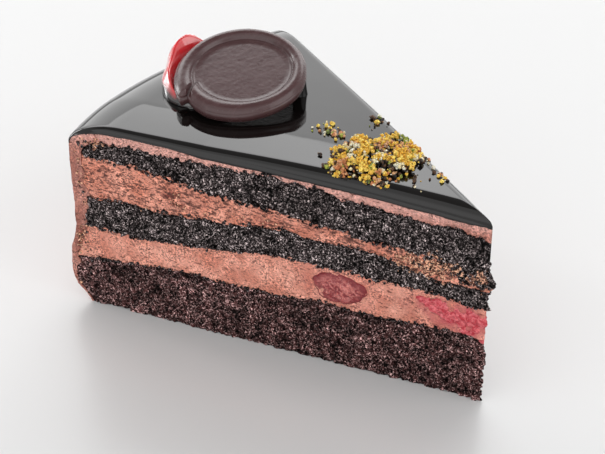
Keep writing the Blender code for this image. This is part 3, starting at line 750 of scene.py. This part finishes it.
def add_glaze(material):
    """The glaze: a polished top whose edges are round, over the mousse."""
    shares = np.concatenate([np.linspace(0, 0.85, 200)[:-1], np.linspace(0.85, 1, 64)])
    turn = np.linspace(-1, 1, 73)
    spread = np.sign(turn) * (1 - (1 - np.abs(turn)) ** 1.7)
    r, angle = np.broadcast_arrays(shares[:, None] * RADIUS, spread[None, :] * HALF_ANGLE)
    flat = np.stack([r * np.cos(angle), r * np.sin(angle), 0 * angle], axis=-1)
    top = glaze_height(r, angle) + 0.05 * MM * smooth_noise(flat, 16 * MM, 61)
    under = layer_top("top_mousse", r, angle) - 0.2 * MM + 0.25 * MM * smooth_noise(flat, 5 * MM, 63)
    upper = polar(r, angle, np.maximum(top, under + 0.5 * MM))
    lower = polar(r, angle, under)
    sheets = Sheets()
    sheets.add(upper)
    sheets.add(lower, turned=True)
    down = np.linspace(0, 1, 7)
    taper = np.clip(shares * 20, 0, 1) * np.clip((1 - shares) * 40, 0, 1)
    bulge = GLAZE_CUT_BULGE * np.sin(math.pi * down)[None, :] * taper[:, None]
    for column, side in ((0, -1), (-1, 1)):
        band = upper[:, column, None] * (1 - down[:, None]) + lower[:, column, None] * down[:, None]
        sheets.add(band + outward(side) * bulge[..., None], turned=side < 0)
    down = down[:, None, None]
    rim = upper[-1][None] * (1 - down) + lower[-1][None] * down
    away_from_tip = np.stack([-np.cos(angle[-1]), np.sin(angle[-1]), 0 * angle[-1]], axis=-1)
    bulge = GLAZE_RIM_BULGE * np.sin(math.pi * down) * (1 - turn**6)[None, :, None]
    sheets.add(rim + bulge * away_from_tip[None])
    piece = sheets.mesh("glaze_mirror", material)
    keep_tip_closed(piece)
    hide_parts("glaze")


def on_top(x, y):
    """Height of the glaze at a place counted from the tip."""
    return float(glaze_height(math.hypot(x, y), math.atan2(y, -x)))


def medallion_tilt():
    return Matrix.Rotation(MEDALLION_BACK_UP, 3, SIDEWAYS) @ Matrix.Rotation(-MEDALLION_RIGHT_UP, 3, AWAY)


def medallion_place():
    """World matrix of the medallion: X sideways, Y away, Z out of its face, origin under its middle."""
    axes = Matrix((SIDEWAYS, AWAY, Vector((0, 0, 1)))).transposed()
    place = MEDALLION_CENTRE + Vector((TIP_X, 0, HEIGHT + MEDALLION_LIFT))
    return Matrix.Translation(place) @ (medallion_tilt() @ axes).to_4x4()


def medallion_outline(angle, share):
    """Outer radius of the border: uneven, with a lobe that swells until it folds over its own start."""
    uneven = 0.35 * MM * math.cos(2 * (angle - math.radians(28))) + 0.2 * MM * math.cos(3 * angle + 1)
    uneven += 1.2 * MM * max(0, -math.sin(angle)) - 0.9 * MM * max(0, math.cos(angle))
    lobe = 1.3 * MM * max(0, (share - 0.72) / 0.28) ** 1.5
    tuck = -0.9 * MM * max(0, 1 - share / 0.07)
    return MEDALLION_RADIUS + uneven + lobe + tuck


def medallion_section(angle, share):
    """(distance from the middle, height) along the section at an angle, from the underside to the recess."""
    edge = medallion_outline(angle, share)
    start, finish = max(0, 1 - share / 0.016), max(0, (share - 0.988) / 0.012)
    crest = MEDALLION_HEIGHT * (1 - 0.5 * start**1.5 - 0.6 * finish**1.5)
    recess = MEDALLION_RADIUS - MEDALLION_BORDER + 1.1 * MM * max(0, (share - 0.85) / 0.15) ** 1.5
    floor = MEDALLION_FLOOR
    middle, half = (edge + recess) / 2, (edge - recess) / 2
    section = [(0.5 * recess, 0), (edge - 1.3 * MM, 0)]
    for k in range(9):
        turn = -math.pi / 2 + math.pi / 2 * (k / 8)
        lip = 0.3 * MM * math.exp(-(((k - 3) / 0.8) ** 2))
        section.append((edge - 1.2 * MM + 1.2 * MM * math.cos(turn) + lip, 1.2 * MM * (1 + math.sin(turn))))
    for k in range(1, 19):
        turn = math.pi * k / 20
        rise = 1.2 * MM + (crest - 1.2 * MM) * math.sin(turn) ** 0.75
        section.append((middle + half * math.cos(turn), max(rise, floor + 0.25 * MM)))
    ridge = 0.30 * MM
    section += [(recess - 0.05 * MM, floor + 0.15 * MM), (recess - 0.3 * MM, floor + ridge)]
    section += [(recess - 0.55 * MM, floor + 0.12 * MM), (recess - 0.9 * MM, floor)]
    section.append((0.85 * (MEDALLION_RADIUS - MEDALLION_BORDER), floor))
    return section


def add_medallion(material, segments=240):
    """The pressed disc with its folded border and its plain recess."""
    place = medallion_place()
    points = [place @ Vector((0, 0, 0)), place @ Vector((0, 0, MEDALLION_FLOOR))]
    rings = []
    for s in range(segments):
        share = (s + 0.5) / segments
        share -= 0.88 * math.sin(math.tau * share) / math.tau
        angle = FOLD_ANGLE + math.tau * share
        section = medallion_section(angle, share)
        rings.append(np.arange(len(points), len(points) + len(section)))
        for distance, z in section:
            slant = FOLD_SLANT * min(1, max(0, MEDALLION_RADIUS - distance) / MEDALLION_BORDER)
            turned = angle - slant
            points.append(place @ Vector((distance * math.cos(turned), distance * math.sin(turned), z)))
    index = np.stack(rings + rings[:1])
    faces = list(grid_faces(index))
    for here, there in zip(index, index[1:]):
        faces += [(0, there[0], here[0]), (1, here[-1], there[-1])]
    piece = add_mesh("medallion_disc", points, faces, material)
    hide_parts("medallion")


def under_medallion(point):
    """Height of the medallion's underside above a point counted from the tip."""
    offset = point - MEDALLION_CENTRE
    sideways, away = offset.dot(SIDEWAYS), offset.dot(AWAY)
    normal = medallion_tilt() @ Vector((0, 0, 1))
    plane = HEIGHT + MEDALLION_LIFT - (normal.x * offset.x + normal.y * offset.y) / normal.z
    beyond = max(0, math.hypot(sideways, away) - MEDALLION_RADIUS - 1.2 * MM)
    return plane + 1.5 * beyond


def fruit_ring(along):
    """One loop round the fruit: along goes from its front end, 0, to its back end, 1."""
    lean = -math.cos(math.pi * along)
    end = FRUIT_ENDS[0] if lean < 0 else FRUIT_ENDS[1]
    slowed = along + ((1 + lean) / 2 - along) * along
    middle = Vector(FRUIT_FRONT).lerp(Vector(FRUIT_BACK), slowed)
    round_off = math.sin(math.pi * along) ** 0.75
    half_width = round_off * (FRUIT_HALF_WIDTHS[0] + (FRUIT_HALF_WIDTHS[1] - FRUIT_HALF_WIDTHS[0]) * along)
    height = round_off * (FRUIT_HEIGHTS[0] + (FRUIT_HEIGHTS[1] - FRUIT_HEIGHTS[0]) * along)
    around = [math.pi * k / FRUIT_ARC_STEPS for k in range(FRUIT_ARC_STEPS + 1)]
    across = [(-half_width * math.cos(turn), height * math.sin(turn)) for turn in around]
    across += [(half_width * (1 - 2 * k / FRUIT_UNDER_STEPS), 0) for k in range(1, FRUIT_UNDER_STEPS)]
    ring = []
    for side, rise in across:
        point = MEDALLION_CENTRE + SIDEWAYS * (middle.x + side) + AWAY * (middle.y + end * lean)
        ground = on_top(point.x, point.y) + 0.02 * MM
        top = min(HEIGHT + 0.1 * MM + rise, under_medallion(point) - 0.15 * MM)
        point.z = max(ground, top) if rise > 0.1 * MM else ground
        ring.append(point + Vector((TIP_X, 0, 0)))
    return ring


def add_fruit(material, rings=60):
    """The long glazed red half under the medallion's left side, slightly shrivelled."""
    alongs = [(1 - math.cos(math.pi * i / rings)) / 2 for i in range(1, rings)]
    loops = [fruit_ring(along) for along in alongs]
    ends = [fruit_ring(along)[0] for along in (0, 1)]
    points = np.array([point for loop in loops for point in loop] + ends)
    lift = np.clip((points[:, 2] - HEIGHT) / (3 * MM), 0, 1)
    shrivel = 0.55 * smooth_noise(points, 4.5 * MM, 45) + 0.15 * smooth_noise(points, 2 * MM, 47) - 0.15
    axis = MEDALLION_CENTRE + Vector((TIP_X, 0, HEIGHT)) + SIDEWAYS * FRUIT_BACK[0] + AWAY * FRUIT_BACK[1] / 2
    away_from_axis = points - np.array(axis)
    away_from_axis /= np.linalg.norm(away_from_axis, axis=1)[:, None]
    points += away_from_axis * (MM * shrivel * lift)[:, None]
    count = len(loops[0])
    index = numbered(len(loops), count)
    faces = list(grid_faces(index, wrap=True))
    for row, end in ((0, len(points) - 2), (-1, len(points) - 1)):
        faces += [(index[row][k - 1], index[row][k], end) for k in range(count)]
    piece = add_mesh("glazed_fruit_skin", points, faces, material)
    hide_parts("glazed_fruit")


def add_dab(material, rings=14, segments=32):
    """The dab of glaze that props the medallion's right side, a little wider at its foot."""
    place = MEDALLION_CENTRE + SIDEWAYS * DAB_PLACE[0] + AWAY * DAB_PLACE[1]
    points = []
    for i in range(rings + 1):
        up = i / rings
        radius = DAB_RADIUS * (0.9 + 0.25 * (1 - up) ** 2)
        for s in range(segments):
            turn = math.tau * s / segments
            uneven = 1 + 0.05 * math.sin(2 * turn + 1)
            spot = place + radius * uneven * Vector((math.cos(turn), math.sin(turn), 0))
            foot = on_top(spot.x, spot.y) - 0.3 * MM
            spot.z = foot + up * (under_medallion(spot) - foot)
            points.append(spot + Vector((TIP_X, 0, 0)))
    index = numbered(rings + 1, segments)
    faces = [*grid_faces(index, wrap=True), index[0], index[-1]]
    piece = add_mesh("glaze_dab", points, faces, material)


# Crumbs

HEAP_CLUMPS = 84
GRAINS_IN_CLUMP = 20
HEAP_SINGLES = 520
CRUMB_KINDS = {  # share of the heap's clumps, share of the single grains, two colours
    "yellow": (0.72, 0.24, (0.95, 0.70, 0.14), (0.74, 0.40, 0.03)),
    "orange": (0.12, 0.08, (0.55, 0.20, 0.07), (0.68, 0.38, 0.19)),
    "cream": (0.10, 0.24, (0.80, 0.68, 0.40), (0.76, 0.74, 0.60)),
    "brown": (0.04, 0.38, (0.10, 0.04, 0.012), (0.012, 0.008, 0.006)),
    "green": (0.02, 0.06, (0.38, 0.42, 0.06), (0.14, 0.18, 0.04)),
}
HEAP_OUTLINE = (
    (-46.9, -4.2), (-48.4, -0.6), (-47.2, 4.8), (-43, 6.5), (-42.1, 12.3), (-36.9, 11.4), (-31.6, 10),
    (-28.5, 9.4), (-27.8, 3.2), (-26.1, -3.9), (-27.4, -9), (-30.5, -10.5), (-35.8, -12.8), (-38.7, -14.9),
    (-41.5, -14.1), (-45.3, -12.9),
)
STRAY_PATCHES = (  # x and y in millimetres, spread, number of crumbs
    (-57, 1.5, 2.4, 34), (-53, 0.8, 1.8, 14), (-50, 14.5, 2.0, 20), (-27.5, 8.5, 2.6, 30),
    (-22.5, 7.0, 2.2, 24), (-19.5, 4.0, 1.6, 16), (-43, -14, 1.8, 8), (-24, 0, 3.0, 10), (-36, -2, 14, 40),
)


def inside_outline(x, y, outline):
    """Whether a place is inside a closed outline."""
    inside = False
    for (x0, y0), (x1, y1) in zip(outline, outline[1:] + outline[:1]):
        if (y0 > y) != (y1 > y) and x < x0 + (y - y0) * (x1 - x0) / (y1 - y0):
            inside = not inside
    return inside


def heap_rise(x, y):
    """Height of the heap's mound above the glaze."""
    offset = Vector((x, y, 0)) - HEAP_CENTRE
    share = math.hypot(offset.dot(SIDEWAYS) / HEAP_HALF_WIDTH, offset.dot(AWAY) / HEAP_HALF_DEPTH)
    return HEAP_HEIGHT * math.sqrt(max(0, 1 - share**2))


def rough_grain(draw, centre, size, points, faces):
    """Adds one broken crumb: an uneven eight-to-twenty-sided lump."""
    shape = bmesh.new()
    bmesh.ops.create_icosphere(shape, subdivisions=2 if size > 0.34 * MM else 1, radius=1)
    stretch = Vector((draw.uniform(0.75, 1.25), draw.uniform(0.75, 1.25), draw.uniform(0.7, 1.1)))
    angle = draw.uniform(0, math.tau)
    turn = Matrix.Rotation(angle, 3, Vector((draw.random(), draw.random(), draw.random() + 0.1)))
    start = len(points)
    for vertex in shape.verts:
        local = vertex.co * draw.uniform(0.64, 1.2)
        local = turn @ Vector((local.x * stretch.x, local.y * stretch.y, local.z * stretch.z))
        points.append(tuple(centre + local * size))
    for face in shape.faces:
        faces.append([start + vertex.index for vertex in face.verts])
    shape.free()


def clear_of_edge(x, y):
    return edge_distance(math.hypot(x, y), math.atan2(y, -x)) > 0.9 * MM


def crumb_kind(draw, in_clump):
    kinds = list(CRUMB_KINDS)
    return draw.choices(kinds, [CRUMB_KINDS[kind][0 if in_clump else 1] for kind in kinds])[0]


def heap_crumbs(draw):
    """(x, y, rise, size, kind) of the heap's crumbs: clumps of one kind, and then single grains."""
    count = 0
    while count < HEAP_CLUMPS + HEAP_SINGLES:
        x, y = draw.uniform(-49, -26), draw.uniform(-15, 12.5)
        if not inside_outline(x, y, HEAP_OUTLINE):
            continue
        count += 1
        x, y = x * MM, y * MM
        rise = heap_rise(x, y)
        kind = crumb_kind(draw, count <= HEAP_CLUMPS)
        if count > HEAP_CLUMPS:
            yield x, y, rise * draw.uniform(0.1, 0.8), draw.choice((0.25, 0.35, 0.48, 0.65)) * MM, kind
            continue
        spread = draw.uniform(0.45, 0.8) * MM
        for _ in range(GRAINS_IN_CLUMP):
            up = 0.7 * rise + abs(draw.gauss(0, spread))
            place = x + draw.gauss(0, spread), y + draw.gauss(0, spread)
            yield *place, up, draw.uniform(0.24, 0.52) * MM, kind


def stray_crumbs(draw):
    """(x, y, rise, size, kind) of the crumbs that lie in small groups round the heap."""
    for cx, cy, spread, number in STRAY_PATCHES:
        for _ in range(number):
            x = (cx + draw.gauss(0, spread * 0.6)) * MM
            y = (cy + draw.gauss(0, spread * 0.6)) * MM
            size = draw.choice((0.2, 0.3, 0.42, 0.62)) * MM * draw.uniform(0.8, 1.2)
            yield x, y, heap_rise(x, y), size, crumb_kind(draw, False)


def add_crumbs():
    """One piece for each kind of crumb."""
    draw = random.Random(5)
    made = {kind: ([], []) for kind in CRUMB_KINDS}
    for x, y, rise, size, kind in (*heap_crumbs(draw), *stray_crumbs(draw)):
        if clear_of_edge(x, y):
            centre = Vector((TIP_X + x, y, on_top(x, y) + rise + 0.55 * size))
            rough_grain(draw, centre, size, *made[kind])
    for kind, (points, faces) in made.items():
        material = crumb_material(f"crumb_{kind}", *CRUMB_KINDS[kind][2:])
        piece = add_mesh(f"crumbs_{kind}", points, faces, material, smooth=False)


# Cut cherries


def add_face_cherry(material):
    """The cherry cut open by the front face: an oval cut with a puckered surface, set in the mousse."""
    rings, segments = 26, 90
    points, edge = [], []
    place = polar(FACE_CHERRY["distance"], -HALF_ANGLE, FACE_CHERRY["height"])
    along = np.array((math.cos(HALF_ANGLE), math.sin(HALF_ANGLE), 0))
    normal = outward(-1)
    for i in range(rings + 1):
        share = i / rings
        for s in range(segments):
            turn = math.tau * s / segments
            wobble = 1 + 0.05 * math.sin(3 * turn + 1) + 0.035 * math.sin(5 * turn)
            wobble += 0.025 * math.sin(11 * turn + 2)
            flat = min(1, share * 1.15)
            x = FACE_CHERRY["half_width"] * flat * wobble * math.cos(turn)
            z = FACE_CHERRY["half_height"] * flat * wobble * math.sin(turn)
            rise = MM * (0.85 - 0.75 * flat**4) - 6 * MM * max(0, (share - 0.87) / 0.13)
            points.append(place + along * x + np.array((0, 0, z)) + normal * rise)
            edge.append(flat)
    points = np.array(points)
    pucker = 0.6 * smooth_noise(points, 1.8 * MM, 71) + 0.4 * smooth_noise(points, 0.8 * MM, 73)
    points += normal * (pucker * MM * (np.array(edge) < 0.97))[:, None]
    index = numbered(rings + 1, segments)
    faces = [*grid_faces(index, wrap=True), index[-1]]
    piece = add_mesh("cherry_in_face_cut", points, faces, material)
    set_attribute(piece, "edge", edge)
    keep_tip_closed(piece)
    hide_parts("cherry_in_face")


def tip_cherry_middle(r):
    return np.interp(r, np.array((0, 6, 12, 19)) * MM, np.array((23.6, 24.2, 26.6, 28.4)) * MM)


def tip_cherry_half(r):
    return np.interp(r, np.array((0, 5, 12, 16, 19)) * MM, np.array((4.6, 4.2, 3.0, 2.0, 0.6)) * MM)


def tip_cherry_relief(points):
    """Torn flesh that sinks into the mousse at its edges."""
    r = np.hypot(points[..., 0] - TIP_X, points[..., 1])
    share = np.clip(1 - ((points[..., 2] - tip_cherry_middle(r)) / tip_cherry_half(r)) ** 2, 0, 1)
    fine = 0.45 * smooth_noise(points, 1.6 * MM, 81) + 0.3 * smooth_noise(points, 0.7 * MM, 83)
    return MM * (0.62 * np.sqrt(share) - 0.38 + fine)


def add_tip_cherry(material):
    """The cherry that the two cuts left in the tip: a smeared band that widens to the tip."""
    piece, loop = wedge_layer(
        "cherry_in_tip_cut", material,
        low=lambda r, a: tip_cherry_middle(r) - tip_cherry_half(r) * (1 + 0.15 * wavy(r)),
        high=lambda r, a: tip_cherry_middle(r) + tip_cherry_half(r) * (1 + 0.2 * wavy(r + 3 * MM)),
        reach=lambda z: TIP_CHERRY_REACH, relief=tip_cherry_relief,
        length=TIP_CHERRY_REACH, rows=24, across=4,
    )
    r = np.hypot(loop[..., 0] - TIP_X, loop[..., 1])
    share = np.abs(loop[..., 2] - tip_cherry_middle(r)) / tip_cherry_half(r)
    set_attribute(piece, "edge", np.clip(share * 0.5 + 0.4 * r / TIP_CHERRY_REACH, 0, 1))
    keep_tip_closed(piece)
    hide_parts("cherry_in_tip")


def wavy(r):
    return np.sin(r / (1.1 * MM)) + 0.6 * np.sin(r / (0.47 * MM) + 1)


# Crumbs of sponge that the knife left on the mousse

DARK_SMEARS = (  # distance and height in millimetres, radii, number on each cut
    (117, 22, 1.5, 14, 20), (115, 52, 3, 2, 25),
    (1.2, 36.5, 2.0, 1.0, 26), (1.0, 33, 1.5, 2.0, 14), (16, 38.8, 9, 2.0, 60),
)
BROWN_SMEARS = (
    (88, 41.0, 7, 3.0, 24), (16, 38.8, 7, 2.6, 420), (60, 41, 8, 1.6, 12), (112, 53.5, 4, 1.2, 30),
    (2.2, 38.5, 2.6, 1.8, 80), (118.5, 20, 2, 8, 60), (118, 45, 2, 8, 40),
)
BORDER_CRUMBS = ("bottom_sponge", "lower_mousse", "middle_sponge", "middle_mousse", "top_sponge")
CRUMBS_ON_BORDER = 260


def add_smears(name, patches, borders, material, seed):
    """Specks that the knife pressed into both cuts, in patches and along the sponges' borders."""
    draw = random.Random(seed)
    points, faces = [], []
    for side in (-1, 1):
        places = []
        for distance, height, wide, tall, number in patches:
            for _ in range(number):
                r = abs(draw.gauss(distance, wide * 0.6)) * MM
                places.append((r, draw.gauss(height, tall * 0.6) * MM))
        for border in borders:
            along = np.array([draw.uniform(2, 116) * MM for _ in range(CRUMBS_ON_BORDER)])
            heights = layer_top(border, along, side * HALF_ANGLE)
            places += [(r, z + draw.gauss(0, 0.25) * MM) for r, z in zip(along, heights)]
        for r, z in places:
            if r < inner_radius(z) + 2.5 * MM and z < 0.0565:
                size = draw.choice((0.2, 0.27, 0.33, 0.48)) * MM
                centre = polar(r, side * HALF_ANGLE, z) + outward(side) * 0.05 * MM
                rough_grain(draw, Vector(centre), size, points, faces)
    piece = add_mesh(name, points, faces, material, smooth=False)
    # A middling depth, which the sponge's painted shade turns to about half brightness
    set_attribute(piece, "depth", np.full(len(points), 0.5))
    return piece


# Floor, light and camera


LIGHTS = {  # azimuth and elevation in degrees, distance, width and height in metres, power
    "back_softbox": (222.8, 26, 1.1, 1.8, 0.85, 8.0),
    "upper_back_softbox": (222.8, 42, 1.05, 2.3, 0.28, 3.4),
    "front_softbox": (20, 35, 1.0, 1.8, 1.8, 7.0),
    "right_softbox": (110, 30, 1.0, 0.8, 0.8, 3.0),
    "left_strip": (281, 8, 1.0, 0.15, 0.6, 2.6),
}
FLOOR_REACH = 3.0
FLOOR_GAP = 0.1 * MM


def stage_material():
    """Pale studio floor, softly polished, with a painted light gradient that makes it a little greyer at one
    end.
    """
    material, paint = new_paint("studio_floor")
    turned = paint.node("ShaderNodeMapping", {"Vector": paint.coords, "Rotation": (0, 0, -SHOWN_FROM)})
    inputs = {0: paint.axis("Y", turned.outputs["Vector"]), 1: 2.6, 2: 0.5}
    depth = paint.node("ShaderNodeMath", inputs, operation="MULTIPLY_ADD").outputs[0]
    # Painted light: the floor's shade fades along its depth instead of staying evenly bright
    colour = paint.ramp(depth, (0.0, 0.70), (0.3, 0.68), (0.55, 0.68), (1.0, 0.62))
    paint.surface({"Base Color": colour, "Roughness": 0.3})
    return material


def add_stage():
    mesh = bpy.data.meshes.new("floor")
    far = FLOOR_REACH
    mesh.from_pydata([(-far, -far, 0), (far, -far, 0), (far, far, 0), (-far, far, 0)], [], [(0, 1, 2, 3)])
    mesh.materials.append(stage_material())
    floor = add_object("floor", mesh)
    floor.location.z = -FLOOR_GAP


def light_world():
    """Soft white surroundings, dim overhead."""
    world = bpy.data.worlds.new("studio")
    bpy.context.scene.world = world
    world.use_nodes = True
    paint = Paint(world.node_tree, "Generated")
    shader = world.node_tree.nodes["Background"]
    colour = paint.ramp(paint.axis("Z"), (0.0, 0.7), (0.45, 0.75), (0.62, 0.6), (0.78, 0.3), (1.0, 0.25))
    paint.set(shader.inputs["Color"], colour)
    paint.set(shader.inputs["Strength"], 1.0)


def direction(azimuth, elevation):
    """The direction towards an azimuth, counted from -Y towards +X, and an elevation, both in radians."""
    level = math.cos(elevation)
    return Vector((math.sin(azimuth) * level, -math.cos(azimuth) * level, math.sin(elevation)))


def add_light(name, azimuth, elevation, distance, width, height, power):
    """A soft light that faces the cake."""
    data = bpy.data.lights.new(name, "AREA")
    data.shape = "RECTANGLE"
    data.size = width
    data.size_y = height
    data.energy = power
    light = add_object(name, data)
    back = direction(math.radians(azimuth), math.radians(elevation))
    light.location = back * distance + Vector((0, 0, 0.03))
    light.rotation_mode = "QUATERNION"
    light.rotation_quaternion = back.to_track_quat("Z", "Y")


def add_camera():
    data = bpy.data.cameras.new("camera")
    data.lens = CAMERA_LENS
    data.sensor_width = 36
    data.clip_start, data.clip_end = 0.01, 20
    camera = add_object("camera", data)
    back = direction(CAMERA_AZIMUTH, CAMERA_ELEVATION)
    right = Vector((math.cos(CAMERA_AZIMUTH), math.sin(CAMERA_AZIMUTH), 0))
    up = back.cross(right)
    target = Vector((TIP_X - RADIUS / 2, 0, HEIGHT / 2)) + right * CAMERA_SLIDE[0] + up * CAMERA_SLIDE[1]
    camera.location = target + back * CAMERA_DISTANCE
    camera.rotation_mode = "QUATERNION"
    camera.rotation_quaternion = back.to_track_quat("Z", "Y")
    bpy.context.scene.camera = camera


# The cake

# The colours of the sponges' hollows, crumbs and painted glints, and the mousses' pale, deep and brown ones;
# the brown also paints shade into the pores
DARK_SPONGE = ((0.002, 0.0015, 0.0015), (0.045, 0.034, 0.035), (0.86, 0.72, 0.71))
BROWN_SPONGE = ((0.004, 0.0015, 0.0015), (0.080, 0.032, 0.031), (0.88, 0.55, 0.53))
LOWER_MOUSSE = ((0.88, 0.40, 0.30), (0.66, 0.24, 0.165), (0.17, 0.045, 0.028))
MIDDLE_MOUSSE = ((0.93, 0.40, 0.29), (0.66, 0.225, 0.145), (0.09, 0.022, 0.015))
COAT_MOUSSE = ((0.60, 0.26, 0.20), (0.42, 0.16, 0.12), (0.20, 0.055, 0.038))
COAT_TOP = (0.74, 0.38, 0.32)
LOWER_STAINS = ((22, 26, 6, 3, 0.3),)
MIDDLE_STAINS = (
    (88, 41, 6, 3.0, 1.0), (15, 38.8, 8, 3.2, 0.35), (60, 41, 6, 2, 0.7), (38, 41.5, 12, 2.5, 0.5),
)
JUICES = ((6, 24.5, 9, 5.5, 0.9), (14, 26.5, 6, 3.0, 0.5), (40.5, 25.3, 9.5, 6.5, 0.35))


def add_layers(dark_sponge):
    """The sponges, the fillings and the coat."""
    brown_sponge = sponge_material("brown_sponge", *BROWN_SPONGE)
    lower_mousse = mousse_material("lower_mousse", *LOWER_MOUSSE)
    middle_mousse = mousse_material("middle_mousse", *MIDDLE_MOUSSE, pore_share=0.39)
    coat_mousse = mousse_material("coat_mousse", *COAT_MOUSSE, top=COAT_TOP)
    add_sponge("sponge_bottom", "base", "bottom_sponge", 60, brown_sponge)
    add_mousse("mousse_lower", "bottom_sponge", "lower_mousse", 32, lower_mousse, LOWER_STAINS, JUICES)
    add_sponge("sponge_middle", "lower_mousse", "middle_sponge", 28, dark_sponge)
    add_mousse("mousse_middle", "middle_sponge", "middle_mousse", 30, middle_mousse, MIDDLE_STAINS)
    add_sponge("sponge_top", "middle_mousse", "top_sponge", 40, dark_sponge)
    add_coat(coat_mousse)


def main():
    add_camera()
    add_stage()
    light_world()
    for name, values in LIGHTS.items():
        add_light(name, *values)
    bpy.context.scene.view_settings.view_transform = "Standard"
    dark_sponge = sponge_material("dark_sponge", *DARK_SPONGE)
    add_layers(dark_sponge)
    glaze = glaze_material()
    add_glaze(glaze)
    add_dab(glaze)
    add_medallion(chocolate_material())
    add_fruit(fruit_material())
    add_face_cherry(cut_cherry_material("cut_cherry", (0.26, 0.022, 0.030), (0.74, 0.25, 0.22)))
    add_tip_cherry(cut_cherry_material("tip_cherry", (0.50, 0.020, 0.040), (0.86, 0.20, 0.22)))
    add_crumbs()
    add_smears("sponge_smears", DARK_SMEARS, BORDER_CRUMBS, dark_sponge, 9)
    rubbed = crumb_material("rubbed_crumb", (0.96, 0.54, 0.36), (0.10, 0.022, 0.010), size=0.45 * MM)
    add_smears("rubbed_crumbs", BROWN_SMEARS, (), rubbed, 15)


main()
